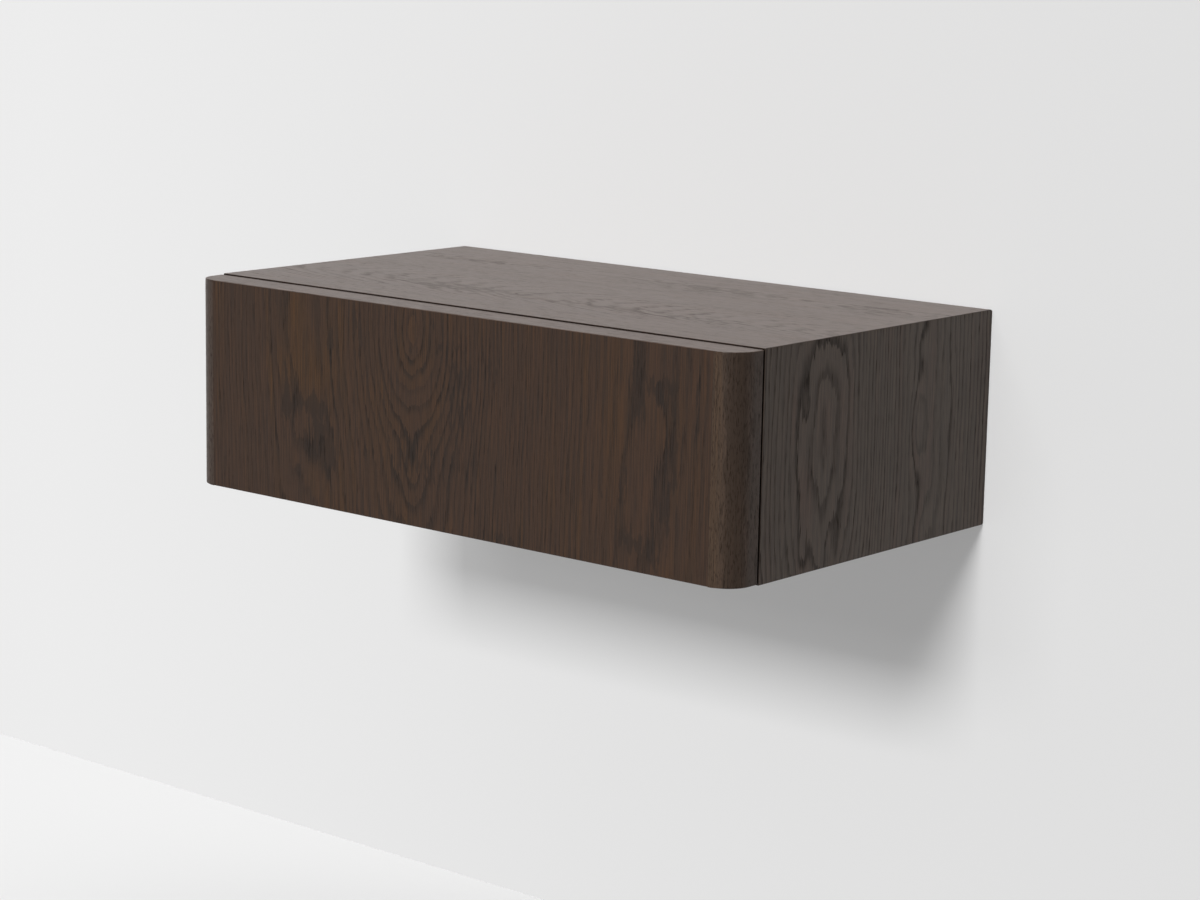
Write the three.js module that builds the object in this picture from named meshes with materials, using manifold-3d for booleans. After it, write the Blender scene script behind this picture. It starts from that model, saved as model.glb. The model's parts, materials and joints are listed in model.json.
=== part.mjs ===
// A wall-hung nightstand in stained oak: a mitred case, one drawer with a rounded front,
// two full-extension ball-bearing slides, and the pair of bevelled cleats that it hangs on.
//
// Lengths are millimetres. +X is to the right of someone who faces the drawer, +Y goes into
// the wall and +Z is up. The origin is the centre of the wall cleat's rear face, on the wall.

import * as THREE from "three";
import { mergeVertices } from "three/addons/utils/BufferGeometryUtils.js";
import Module from "manifold-3d";

// Clearances
const FIT = 0.3; // between pieces that are glued, screwed or seated in one another
const BALL_CLEARANCE = 0.1; // between a ball and each track
const OVERRUN = 2; // how far a cutter runs past the face that it opens

// Case
const CASE_WIDTH = 650;
const CASE_HEIGHT = 200;
const CASE_DEPTH = 343;
const CASE_PANEL_THICKNESS = 18; // thickness of the four outer panels
const CASE_REAR_RADIUS = 2.5; // the top and bottom edges along the wall are rounded
const BACK_PANEL_THICKNESS = 9;
const BACK_RECESS_DEPTH = 20; // wall to the back panel, the room for the cleats
const BACK_GROOVE_DEPTH = 6; // how deep the back panel sits in the case panels

// Loose splines in the mitres
const SPLINE_WIDTH = 14;
const SPLINE_THICKNESS = 4;
const SPLINE_END_GAP = 12; // each spline ends this far short of the open edge and the back panel
const SPLINE_PLACE_SHARE = 0.6; // of the mitre, counted from the outer corner

// Cleats
const CLEAT_CENTRE_DEPTH = 90; // case top down to the middle of the wall cleat's rear face
const CLEAT_THICKNESS = 18;
const WALL_CLEAT_END_GAP = 27; // to the case side
const WALL_CLEAT_REAR_HEIGHT = 40;
const CASE_CLEAT_END_GAP = 7; // to the case side
const WALL_HOLE_DISTANCES = [80, 203]; // left and right of the middle
const CLEAT_SCREW_END_DISTANCES = [60, 210]; // in from each end of the case cleat
const CLEAT_SCREW_DEPTH = 16; // below the underside of the case top
const WALL_HOLE = { headRadius: 5.5, headHeight: 4, shankRadius: 2.8 };

// Drawer front
const FRONT_THICKNESS = 35;
const FRONT_GAP = 2; // shadow gap between the case and the drawer front
const FRONT_INSET_DEPTH = 1; // the front ends this far inside the case's top and bottom
const FRONT_CORNER_RADIUS = 24; // radius of the two rounded outer corners
const POST_WIDTH = 25; // solid wood at each end of the front
const TONGUE_THICKNESS = 8;
const TONGUE_DEPTH = 8;
const TONGUE_END_GAP = 12; // the tongue ends this far short of the top and bottom
const PULL_WIDTH = 240; // finger pull under the front
const PULL_DEPTH = 18;
const PULL_HEIGHT = 14;

// Bumpers behind the drawer front
const BUMPER_RADIUS = 4;
const BUMPER_EDGE_GAP = 55; // in from the case's underside and top

// Drawer box
const DRAWER_REAR_GAP = 16; // to the case's back panel
const DRAWER_BOARD_THICKNESS = 12;
const DRAWER_FLOOR_CLEARANCE = 6;
const DRAWER_HEAD_CLEARANCE = 18;
const DRAWER_BOTTOM_THICKNESS = 6; // thickness
const DRAWER_BOTTOM_HEIGHT = 10; // lower edge of the boards to the drawer bottom
const DRAWER_GROOVE_DEPTH = 6;
const TAIL_COUNT = 4;
const TAIL_ROOT_WIDTH = 18; // width of a dovetail at its narrow root
const TAIL_SPREAD_WIDTH = 4; // how much wider it is at its end
const FRONT_SCREW_INSET_WIDTH = 94; // in from each side of the drawer box
const FRONT_SCREW_EDGE_GAP = 35; // in from the drawer box's lower and upper edges

// Slides, measured inwards from the case side
const SLIDE_SPACE_WIDTH = 13; // between the case side and the drawer side
const SLIDE_REAR_GAP = 12; // to the case's back panel
const SLIDE_FRONT_GAP = 2; // behind the case's front edge
const SLIDE_CENTRE_HEIGHT = 58; // inside floor of the case up to the middle of the slide
const SHEET_THICKNESS = 1.2;
const SLIDE_HEIGHT = 45;
const OUTER_MEMBER_WIDTH = 10; // how far the outer member's flanges stand out
const INTERMEDIATE_TIP_WIDTH = 11;
const WEB_GAP = 1.2; // between the members' webs, where the cages run
const RACE_WIDTH = 3.1; // between the members' flanges, where the balls run
const CAGE_THICKNESS = 0.6;
const CAGE_SPARE_LENGTH = 10; // how much shorter a cage is than half its member
const OUTER_CAGE_TIP_WIDTH = 7.5;
const INNER_CAGE_TIP_WIDTH = 10.5;
const OUTER_BALL_DISTANCE = 5; // ball centres, from the case side
const INNER_BALL_DISTANCE = 8;
const BALLS_PER_ROW = 5;
const SLIDE_SCREW_FRONT_DISTANCE = 37; // front end of a member to its first screw
const OUTER_SCREW_REAR_DISTANCE = 39; // rear end of a member to its last screw
const INNER_SCREW_REAR_DISTANCE = 71;

// Release levers in the inner members
const LEVER_PIN_DISTANCE = 90; // front end of the member to the lever's pin
const LEVER_LENGTH = 45;
const LEVER_WIDTH = 6;
const LEVER_EYE_RADIUS = 4.5; // radius round the pin
const LEVER_THICKNESS = 2.2;
const LEVER_STAND_HEIGHT = 2.3; // shoulder under the lever
const LEVER_PIN_RADIUS = 1.5; // radius
const LEVER_PIN_HEAD_RADIUS = 2.6; // radius of the shoulder and of the rivet's head
const LEVER_PIN_HEAD_HEIGHT = 0.8;

// Screws
const CLEAT_SCREW = { headRadius: 4.5, headHeight: 2.5, shankRadius: 2, length: 24 };
const FRONT_SCREW = { headRadius: 5, headHeight: 2.5, shankRadius: 2, length: 30 };
const CASE_SIDE_SCREW = { headRadius: 3.6, headHeight: 2.2, shankRadius: 1.7, length: 14 };
const DRAWER_SIDE_SCREW = { headRadius: 3.4, headHeight: 2, shankRadius: 1.6, length: 10.5 };
const SCREW_SIDES = 12;

// Counts of straight steps in curves
const CORNER_STEPS = 12;
const ARRIS_STEPS = 3;
const EYE_STEPS = 12;
const BUMPER_SIDES = 16;
const BALL_DETAIL = 1;

// Places that follow from the sizes
const caseRight = CASE_WIDTH / 2;
const innerRight = caseRight - CASE_PANEL_THICKNESS;
const caseFront = -CASE_DEPTH;
const caseTop = CLEAT_CENTRE_DEPTH;
const caseBottom = caseTop - CASE_HEIGHT;
const innerTop = caseTop - CASE_PANEL_THICKNESS;
const innerBottom = caseBottom + CASE_PANEL_THICKNESS;
const backRear = -BACK_RECESS_DEPTH;
const backFront = backRear - BACK_PANEL_THICKNESS;
const frontRear = caseFront - FRONT_GAP;
const frontFace = frontRear - FRONT_THICKNESS;
const frontTop = caseTop - FRONT_INSET_DEPTH;
const frontBottom = caseBottom + FRONT_INSET_DEPTH;
const panelRight = caseRight - POST_WIDTH;
const drawerRight = innerRight - SLIDE_SPACE_WIDTH;
const drawerInnerRight = drawerRight - DRAWER_BOARD_THICKNESS;
const drawerFront = frontRear;
const drawerRear = backFront - DRAWER_REAR_GAP;
const drawerInnerFront = drawerFront + DRAWER_BOARD_THICKNESS;
const drawerInnerRear = drawerRear - DRAWER_BOARD_THICKNESS;
const drawerLow = innerBottom + DRAWER_FLOOR_CLEARANCE;
const drawerHigh = innerTop - DRAWER_HEAD_CLEARANCE;
const slideFront = caseFront + SLIDE_FRONT_GAP;
const slideRear = backFront - SLIDE_REAR_GAP;
const slideLength = slideRear - slideFront;
const cageLength = slideLength / 2 - CAGE_SPARE_LENGTH;
const slideHeight = innerBottom + SLIDE_CENTRE_HEIGHT;

const finishes = {
  stainedOak: { color: "#473a33", roughness: 0.55, metalness: 0 },
  frontOak: { color: "#4a3629", roughness: 0.55, metalness: 0 },
  solidOak: { color: "#53402f", roughness: 0.55, metalness: 0 },
  drawerOak: { color: "#6a4f3c", roughness: 0.6, metalness: 0 },
  cleatPly: { color: "#b08d62", roughness: 0.7, metalness: 0 },
  backPly: { color: "#4a3f38", roughness: 0.65, metalness: 0 },
  slideSteel: { color: "#a9abad", roughness: 0.35, metalness: 1 },
  cageSteel: { color: "#8d8f92", roughness: 0.4, metalness: 1 },
  screwSteel: { color: "#b9b4a6", roughness: 0.4, metalness: 1 },
  leverPlastic: { color: "#1c1c1e", roughness: 0.5, metalness: 0 },
  bumperRubber: { color: "#2a2a2a", roughness: 0.8, metalness: 0 },
};

const wasm = await Module();
wasm.setup();

// A closed geometry as a solid that can be joined and cut.
function toSolid(geometry) {
  const bare = geometry.clone();
  bare.deleteAttribute("normal");
  bare.deleteAttribute("uv");
  const merged = mergeVertices(bare);
  const vertProperties = merged.attributes.position.array;
  const triVerts = new Uint32Array(merged.index.array);
  return new wasm.Manifold(new wasm.Mesh({ numProp: 3, vertProperties, triVerts }));
}

function toGeometry(solid) {
  const { vertProperties, numProp, triVerts } = solid.getMesh();
  const geometry = new THREE.BufferGeometry();
  geometry.setAttribute("position", new THREE.BufferAttribute(vertProperties, numProp));
  geometry.setIndex(new THREE.BufferAttribute(triVerts, 1));
  geometry.computeVertexNormals();
  return geometry;
}

function cut(body, cutters) {
  return toGeometry(cutters.reduce((rest, cutter) => rest.subtract(toSolid(cutter)), toSolid(body)));
}

function join(pieces) {
  return toGeometry(pieces.map(toSolid).reduce((whole, piece) => whole.add(piece)));
}

function common(first, second) {
  return toGeometry(toSolid(first).intersect(toSolid(second)));
}

function named(name, geometry, finish) {
  const mesh = new THREE.Mesh(geometry, new THREE.MeshStandardMaterial(finishes[finish]));
  mesh.name = name;
  return mesh;
}

// A box between two values on each axis.
function box([left, right], [front, rear], [low, high]) {
  const geometry = new THREE.BoxGeometry(1, 1, 1);
  const place = geometry.attributes.position;
  for (let i = 0; i < place.count; i++) {
    const x = place.getX(i) < 0 ? left : right;
    const y = place.getY(i) < 0 ? front : rear;
    const z = place.getZ(i) < 0 ? low : high;
    place.setXYZ(i, x, y, z);
  }
  return geometry;
}

// The same box, wider by a margin on every side.
function grown(ranges, margin) {
  return ranges.map(([low, high]) => [low - margin, high + margin]);
}

// Where an outline's own two coordinates and its extrusion go, for each axis of extrusion.
const spread = {
  x: (u, v, w) => [w, u, v],
  y: (u, v, w) => [u, w, v],
  z: (u, v, w) => [u, v, w],
};

// An outline extruded along an axis between two values. Its points are (y, z) along x,
// (x, z) along y and (x, y) along z.
function prism(axis, outline, [low, high]) {
  const shape = new THREE.Shape(outline.map(([u, v]) => new THREE.Vector2(u, v)));
  const geometry = new THREE.ExtrudeGeometry(shape, { depth: 1, bevelEnabled: false });
  const [near, far] = axis === "y" ? [high, low] : [low, high];
  const place = geometry.attributes.position;
  for (let i = 0; i < place.count; i++) {
    const w = place.getZ(i) === 0 ? near : far;
    place.setXYZ(i, ...spread[axis](place.getX(i), place.getY(i), w));
  }
  return geometry;
}

const rising = (a, b) => a - b;
const FULL_TURN = 4; // quarter turns

// Points on an arc, for an outline. Angles are in quarter turns.
function arc([u, v], radius, from, to, steps) {
  return Array.from({ length: steps + 1 }, (_, i) => {
    const angle = (from + ((to - from) * i) / steps) * (Math.PI / 2);
    return [u + radius * Math.cos(angle), v + radius * Math.sin(angle)];
  });
}

// An outline mirrored left to right, with its points kept in turning order.
function mirrored(outline, side) {
  const points = outline.map(([u, v]) => [side * u, v]);
  return side < 0 ? points.reverse() : points;
}

// A turned piece. Its profile runs from the top down, as [radius, height] pairs about local y.
function turned(profile, sides) {
  const points = profile.map(([radius, height]) => new THREE.Vector2(radius, height));
  return new THREE.LatheGeometry(points.reverse(), sides);
}

// Screws. The seat is the face that the head bears on, at local height 0, and the point is down.
function panScrew({ headRadius, headHeight, shankRadius, length }) {
  const profile = [
    [0, headHeight],
    [headRadius, headHeight],
    [headRadius, 0],
    [shankRadius, 0],
    [shankRadius, shankRadius - length],
    [0, -length],
  ];
  return turned(profile, SCREW_SIDES);
}

function shankHole({ shankRadius, length }) {
  const radius = shankRadius + FIT;
  const profile = [
    [0, OVERRUN],
    [radius, OVERRUN],
    [radius, -length - FIT],
    [0, -length - FIT],
  ];
  return turned(profile, SCREW_SIDES);
}

// A flush screw's seat is the top of its countersunk head.
function flushScrew({ headRadius, headHeight, shankRadius, length }) {
  const profile = [
    [0, 0],
    [headRadius, 0],
    [shankRadius, -headHeight],
    [shankRadius, shankRadius - length],
    [0, -length],
  ];
  return turned(profile, SCREW_SIDES);
}

function flushHole({ headRadius, headHeight, shankRadius, length }) {
  const profile = [
    [0, OVERRUN],
    [headRadius + FIT, OVERRUN],
    [headRadius + FIT, 0],
    [shankRadius + FIT, -headHeight],
    [shankRadius + FIT, -length - FIT],
    [0, -length - FIT],
  ];
  return turned(profile, SCREW_SIDES);
}

// The matrix that seats a screw at a point and drives it along a direction.
function driven([x, y, z], direction) {
  const down = new THREE.Vector3(0, -1, 0);
  const turn = new THREE.Quaternion().setFromUnitVectors(down, direction);
  return new THREE.Matrix4().compose(new THREE.Vector3(x, y, z), turn, new THREE.Vector3(1, 1, 1));
}

function screwMesh(name, geometry, matrix) {
  const mesh = named(name, geometry, "screwSteel");
  matrix.decompose(mesh.position, mesh.quaternion, mesh.scale);
  return mesh;
}

const towardsWall = new THREE.Vector3(0, 1, 0);
const towardsRoom = new THREE.Vector3(0, -1, 0);
const sides = [
  { name: "left", side: -1 },
  { name: "right", side: 1 },
];
const levels = [
  { name: "bottom", level: -1 },
  { name: "top", level: 1 },
];

// Case

const backPanelRanges = [
  [-innerRight - BACK_GROOVE_DEPTH + FIT, innerRight + BACK_GROOVE_DEPTH - FIT],
  [backFront, backRear],
  [innerBottom - BACK_GROOVE_DEPTH + FIT, innerTop + BACK_GROOVE_DEPTH - FIT],
];
const splineRange = [caseFront + SPLINE_END_GAP, backFront - SPLINE_END_GAP];
const mitrePullBack = FIT * Math.SQRT1_2; // leaves the mitre a glue line as thick as the fit

// The case from the side, with its two edges along the wall rounded.
function caseEnvelope() {
  const r = CASE_REAR_RADIUS;
  const outline = [
    [caseFront, caseBottom],
    ...arc([-r, caseBottom + r], r, -1, 0, ARRIS_STEPS),
    ...arc([-r, caseTop - r], r, 0, 1, ARRIS_STEPS),
    [caseFront, caseTop],
  ];
  return prism("x", outline, [-caseRight, caseRight]);
}

function levelOutline(level) {
  const [outer, inner] = level > 0 ? [caseTop, innerTop] : [caseBottom, innerBottom];
  const outerHalf = caseRight - mitrePullBack;
  const innerHalf = innerRight - mitrePullBack;
  return [
    [-outerHalf, outer],
    [outerHalf, outer],
    [innerHalf, inner],
    [-innerHalf, inner],
  ];
}

function sideOutline(side) {
  const outline = [
    [caseRight, caseBottom + mitrePullBack],
    [caseRight, caseTop - mitrePullBack],
    [innerRight, innerTop - mitrePullBack],
    [innerRight, innerBottom + mitrePullBack],
  ];
  return mirrored(outline, side);
}

// The spline that crosses one mitre, with room round it where it is used as a cutter.
function splineBox(margin) {
  const ranges = [
    [-SPLINE_WIDTH / 2, SPLINE_WIDTH / 2],
    splineRange,
    [-SPLINE_THICKNESS / 2, SPLINE_THICKNESS / 2],
  ];
  return box(...grown(ranges, margin));
}

function splineMatrix(side, level) {
  const inward = SPLINE_PLACE_SHARE * CASE_PANEL_THICKNESS;
  const x = side * (caseRight - inward);
  const z = level > 0 ? caseTop - inward : caseBottom + inward;
  const turn = new THREE.Matrix4().makeRotationY((side * level * Math.PI) / 4);
  return turn.setPosition(x, 0, z);
}

function splineCutters() {
  return sides.flatMap(({ side }) =>
    levels.map(({ level }) => splineBox(FIT).applyMatrix4(splineMatrix(side, level))),
  );
}

function splines() {
  return sides.flatMap((across) =>
    levels.map((up) => {
      const mesh = named(`${up.name}_${across.name}_mitre_spline`, splineBox(0), "cleatPly");
      splineMatrix(across.side, up.level).decompose(mesh.position, mesh.quaternion, mesh.scale);
      return mesh;
    }),
  );
}

function caseSideScrewMatrices(side) {
  const seat = side * (innerRight - SHEET_THICKNESS);
  const direction = new THREE.Vector3(side, 0, 0);
  return outerScrewPlaces().map((y) => driven([seat, y, slideHeight], direction));
}

function casePanels() {
  const envelope = caseEnvelope();
  const cutters = [box(...grown(backPanelRanges, FIT)), ...splineCutters()];
  const panel = (outline, more) =>
    cut(common(prism("y", outline, [caseFront, 0]), envelope), [...cutters, ...more]);
  const holes = (side) =>
    caseSideScrewMatrices(side).map((matrix) => flushHole(CASE_SIDE_SCREW).applyMatrix4(matrix));
  return [
    ...levels.map(({ name, level }) =>
      named(`case_${name}`, panel(levelOutline(level), []), "stainedOak"),
    ),
    ...sides.map(({ name, side }) =>
      named(`case_${name}_side`, panel(sideOutline(side), holes(side)), "stainedOak"),
    ),
  ];
}

const caseCleatRight = innerRight - CASE_CLEAT_END_GAP;

function cleatScrewMatrices() {
  return sides.flatMap(({ side }) =>
    CLEAT_SCREW_END_DISTANCES.map((inset) => {
      const place = [side * (caseCleatRight - inset), backFront, innerTop - CLEAT_SCREW_DEPTH];
      return driven(place, towardsWall);
    }),
  );
}

function cleatScrewHoles() {
  return cleatScrewMatrices().map((matrix) => shankHole(CLEAT_SCREW).applyMatrix4(matrix));
}

function backPanel() {
  return named("case_back_panel", cut(box(...backPanelRanges), cleatScrewHoles()), "backPly");
}

// Cleats. Each has a 45 degree edge, and the case's hooks down behind the wall's.

const wallCleatLow = -WALL_CLEAT_REAR_HEIGHT / 2;
const wallCleatHigh = WALL_CLEAT_REAR_HEIGHT / 2;

function wallCleat() {
  const outline = [
    [0, wallCleatLow],
    [0, wallCleatHigh],
    [-CLEAT_THICKNESS, wallCleatHigh + CLEAT_THICKNESS],
    [-CLEAT_THICKNESS, wallCleatLow],
  ];
  const half = innerRight - WALL_CLEAT_END_GAP;
  const screw = { ...WALL_HOLE, length: CLEAT_THICKNESS + OVERRUN };
  const holes = sides.flatMap(({ side }) =>
    WALL_HOLE_DISTANCES.map((place) =>
      flushHole(screw).applyMatrix4(driven([side * place, -CLEAT_THICKNESS, 0], towardsWall)),
    ),
  );
  return named("wall_cleat", cut(prism("x", outline, [-half, half]), holes), "cleatPly");
}

function caseCleat() {
  const rear = backRear + CLEAT_THICKNESS;
  const bevelAt = (y) => wallCleatHigh - y + FIT * Math.SQRT2;
  const outline = [
    [rear, bevelAt(rear)],
    [rear, innerTop],
    [backRear, innerTop],
    [backRear, bevelAt(backRear)],
  ];
  const body = prism("x", outline, [-caseCleatRight, caseCleatRight]);
  return named("case_cleat", cut(body, cleatScrewHoles()), "cleatPly");
}

function cleatScrews() {
  return cleatScrewMatrices().map((matrix, i) =>
    screwMesh(`cleat_screw_${i + 1}`, panScrew(CLEAT_SCREW), matrix),
  );
}

// Drawer front

const tongueFront = (frontFace + frontRear - TONGUE_THICKNESS) / 2;
const tongueRanges = (side) => {
  const ends = [side * (panelRight - TONGUE_DEPTH), side * (panelRight + TONGUE_DEPTH - FIT)];
  return [
    ends.sort(rising),
    [tongueFront, tongueFront + TONGUE_THICKNESS],
    [frontBottom + TONGUE_END_GAP, frontTop - TONGUE_END_GAP],
  ];
};

function frontScrewMatrices() {
  return sides.flatMap(({ side }) =>
    [drawerLow + FRONT_SCREW_EDGE_GAP, drawerHigh - FRONT_SCREW_EDGE_GAP].map((height) => {
      const x = side * (drawerRight - FRONT_SCREW_INSET_WIDTH);
      return driven([x, drawerInnerFront, height], towardsRoom);
    }),
  );
}

function frontScrewHoles() {
  return frontScrewMatrices().map((matrix) => shankHole(FRONT_SCREW).applyMatrix4(matrix));
}

function frontPanel() {
  const board = box([-panelRight, panelRight], [frontFace, frontRear], [frontBottom, frontTop]);
  const fingerPull = box(
    [-PULL_WIDTH / 2, PULL_WIDTH / 2],
    [frontRear - PULL_DEPTH, frontRear + OVERRUN],
    [frontBottom - OVERRUN, frontBottom + PULL_HEIGHT],
  );
  const tongues = sides.map(({ side }) => box(...tongueRanges(side)));
  const body = cut(join([board, ...tongues]), [fingerPull, ...frontScrewHoles()]);
  return named("drawer_front_panel", body, "frontOak");
}

function frontPost({ name, side }) {
  const r = FRONT_CORNER_RADIUS;
  const outline = [
    [panelRight, frontFace],
    ...arc([caseRight - r, frontFace + r], r, -1, 0, CORNER_STEPS),
    [caseRight, frontRear],
    [panelRight, frontRear],
  ];
  const body = prism("z", mirrored(outline, side), [frontBottom, frontTop]);
  const groove = box(...grown(tongueRanges(side), FIT));
  return named(`drawer_front_${name}_post`, cut(body, [groove]), "solidOak");
}

function bumpers() {
  const thickness = FRONT_GAP - FIT;
  const disc = new THREE.CylinderGeometry(BUMPER_RADIUS, BUMPER_RADIUS, thickness, BUMPER_SIDES);
  const heights = { lower: caseBottom + BUMPER_EDGE_GAP, upper: caseTop - BUMPER_EDGE_GAP };
  return sides.flatMap(({ name, side }) =>
    Object.entries(heights).map(([place, height]) => {
      const mesh = named(`${name}_${place}_bumper`, disc, "bumperRubber");
      const x = side * (caseRight - CASE_PANEL_THICKNESS / 2);
      mesh.position.set(x, frontRear + thickness / 2, height);
      return mesh;
    }),
  );
}

// Drawer box, dovetailed at its four corners

const tailPitch = (drawerHigh - drawerLow) / TAIL_COUNT;
const drawerBottomRanges = [
  [-drawerInnerRight - DRAWER_GROOVE_DEPTH + FIT, drawerInnerRight + DRAWER_GROOVE_DEPTH - FIT],
  [drawerInnerFront - DRAWER_GROOVE_DEPTH + FIT, drawerInnerRear + DRAWER_GROOVE_DEPTH - FIT],
  [drawerLow + DRAWER_BOTTOM_HEIGHT, drawerLow + DRAWER_BOTTOM_HEIGHT + DRAWER_BOTTOM_THICKNESS],
];

const drawerBottomGroove = () => box(...grown(drawerBottomRanges, FIT));
const frontCorner = { root: drawerInnerFront, end: drawerFront };
const rearCorner = { root: drawerInnerRear, end: drawerRear };

// One dovetail from the side, lower root first, carried past both faces of the board it crosses.
function tailPoints({ root, end }, index, margin, past) {
  const middle = drawerLow + tailPitch * (index + 1 / 2);
  const way = Math.sign(end - root);
  const slope = TAIL_SPREAD_WIDTH / 2 / DRAWER_BOARD_THICKNESS;
  const corner = (run, up) => {
    const half = TAIL_ROOT_WIDTH / 2 + slope * run + margin;
    return [root + way * run, middle + up * half];
  };
  const [first, last] = [-past, DRAWER_BOARD_THICKNESS + past];
  return [corner(first, -1), corner(last, -1), corner(last, 1), corner(first, 1)];
}

function tailRow(place, margin, past) {
  return Array.from({ length: TAIL_COUNT }, (_, i) => tailPoints(place, i, margin, past));
}

function drawerSide({ name, side }) {
  const outline = [
    [drawerInnerFront, drawerLow],
    [drawerInnerRear, drawerLow],
    ...tailRow(rearCorner, 0, 0).flat(),
    [drawerInnerRear, drawerHigh],
    [drawerInnerFront, drawerHigh],
    ...tailRow(frontCorner, 0, 0).flat().reverse(),
  ];
  const across = [side * drawerInnerRight, side * drawerRight].sort(rising);
  const holes = drawerSideScrewMatrices(side).map((matrix) =>
    shankHole(DRAWER_SIDE_SCREW).applyMatrix4(matrix),
  );
  const body = cut(prism("x", outline, across), [drawerBottomGroove(), ...holes]);
  return named(`drawer_box_${name}`, body, "drawerOak");
}

// A front or back board, with through sockets for the sides' tails.
function drawerCrossBoard(name, place, holes) {
  const depth = [place.root, place.end].sort(rising);
  const board = box([-drawerRight, drawerRight], depth, [drawerLow, drawerHigh]);
  const sockets = sides.flatMap(({ side }) => {
    const across = [side * (drawerInnerRight - FIT), side * (drawerRight + OVERRUN)].sort(rising);
    return tailRow(place, FIT, OVERRUN).map((tail) => prism("x", tail, across));
  });
  const body = cut(board, [drawerBottomGroove(), ...sockets, ...holes]);
  return named(`drawer_box_${name}`, body, "drawerOak");
}

function drawerBox() {
  return [
    drawerCrossBoard("front", frontCorner, frontScrewHoles()),
    ...sides.map(drawerSide),
    drawerCrossBoard("back", rearCorner, []),
    named("drawer_box_bottom", box(...drawerBottomRanges), "drawerOak"),
  ];
}

function frontScrews() {
  return frontScrewMatrices().map((matrix, i) =>
    screwMesh(`front_screw_${i + 1}`, panScrew(FRONT_SCREW), matrix),
  );
}

// Slides. Each is built as seen from inside the case's left: local x runs from the case side
// to the drawer, and local z is counted from the slide's middle.

const intermediateWeb = SHEET_THICKNESS + WEB_GAP;
const innerTip = intermediateWeb + SHEET_THICKNESS + WEB_GAP;
const innerSeat = SLIDE_SPACE_WIDTH - SHEET_THICKNESS;
const cageInset = (WEB_GAP - CAGE_THICKNESS) / 2;
const outerHalf = SLIDE_HEIGHT / 2;
const intermediateHalf = outerHalf - SHEET_THICKNESS - RACE_WIDTH;
const innerHalf = intermediateHalf - SHEET_THICKNESS - RACE_WIDTH;
const memberRange = [slideFront, slideRear];
const cageEnd = (slideLength - cageLength) / 2;
const cageRange = [slideFront + cageEnd, slideRear - cageEnd];

function outerScrewPlaces() {
  return [slideFront + SLIDE_SCREW_FRONT_DISTANCE, slideRear - OUTER_SCREW_REAR_DISTANCE];
}

function innerScrewPlaces() {
  return [slideFront + SLIDE_SCREW_FRONT_DISTANCE, slideRear - INNER_SCREW_REAR_DISTANCE];
}

// A channel: a web at one local x, flanges that reach another, and a sheet thickness.
function channel(web, tip, half, sheet, range) {
  const inside = web + Math.sign(tip - web) * sheet;
  const lip = half - sheet;
  const outline = [
    [web, -half],
    [tip, -half],
    [tip, -lip],
    [inside, -lip],
    [inside, lip],
    [tip, lip],
    [tip, half],
    [web, half],
  ];
  return prism("y", outline, range);
}

function ballRows(place, height) {
  const radius = RACE_WIDTH / 2 - BALL_CLEARANCE;
  const pitch = cageLength / BALLS_PER_ROW;
  return levels.flatMap(({ level }) =>
    Array.from({ length: BALLS_PER_ROW }, (_, i) => {
      const y = cageRange[0] + pitch * (i + 1 / 2);
      return new THREE.OctahedronGeometry(radius, BALL_DETAIL).translate(place, y, level * height);
    }),
  );
}

// A ball cage between two members: a thin channel with its balls standing in its flanges.
function ballCage(web, reach, half, place) {
  const height = half + RACE_WIDTH / 2;
  const edge = height + CAGE_THICKNESS / 2;
  const sheet = channel(web + cageInset, reach, edge, CAGE_THICKNESS, cageRange);
  return join([sheet, ...ballRows(place, height)]);
}

// The riveted pin that stands out of the inner member's web and carries the lever.
function leverPin() {
  const headSeat = LEVER_STAND_HEIGHT + FIT + LEVER_THICKNESS + FIT;
  const profile = [
    [0, headSeat + LEVER_PIN_HEAD_HEIGHT],
    [LEVER_PIN_HEAD_RADIUS, headSeat + LEVER_PIN_HEAD_HEIGHT],
    [LEVER_PIN_HEAD_RADIUS, headSeat],
    [LEVER_PIN_RADIUS, headSeat],
    [LEVER_PIN_RADIUS, LEVER_STAND_HEIGHT],
    [LEVER_PIN_HEAD_RADIUS, LEVER_STAND_HEIGHT],
    [LEVER_PIN_HEAD_RADIUS, -SHEET_THICKNESS / 2],
    [0, -SHEET_THICKNESS / 2],
  ];
  const place = driven([innerSeat, slideFront + LEVER_PIN_DISTANCE, 0], new THREE.Vector3(1, 0, 0));
  return turned(profile, SCREW_SIDES).applyMatrix4(place);
}

function lever() {
  const pin = slideFront + LEVER_PIN_DISTANCE;
  const half = LEVER_WIDTH / 2;
  const outline = [
    ...arc([pin, 0], LEVER_EYE_RADIUS, 1, 3, EYE_STEPS),
    [pin + LEVER_LENGTH - half, -half],
    ...arc([pin + LEVER_LENGTH - half, 0], half, -1, 1, EYE_STEPS).slice(1, -1),
    [pin + LEVER_LENGTH - half, half],
  ];
  const near = innerSeat - LEVER_STAND_HEIGHT - FIT - LEVER_THICKNESS;
  const body = prism("x", outline, [near, near + LEVER_THICKNESS]);
  const eye = prism(
    "x",
    arc([pin, 0], LEVER_PIN_RADIUS + FIT, 0, FULL_TURN, SCREW_SIDES).slice(1),
    [near - OVERRUN, near + LEVER_THICKNESS + OVERRUN],
  );
  return cut(body, [eye]);
}

function outerScrewLocals() {
  const direction = new THREE.Vector3(-1, 0, 0);
  return outerScrewPlaces().map((y) => driven([SHEET_THICKNESS, y, 0], direction));
}

function innerScrewLocals() {
  const direction = new THREE.Vector3(1, 0, 0);
  return innerScrewPlaces().map((y) => driven([innerSeat, y, 0], direction));
}

function drawerSideScrewMatrices(side) {
  const seat = side * (innerRight - innerSeat);
  const direction = new THREE.Vector3(-side, 0, 0);
  return innerScrewPlaces().map((y) => driven([seat, y, slideHeight], direction));
}

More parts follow.
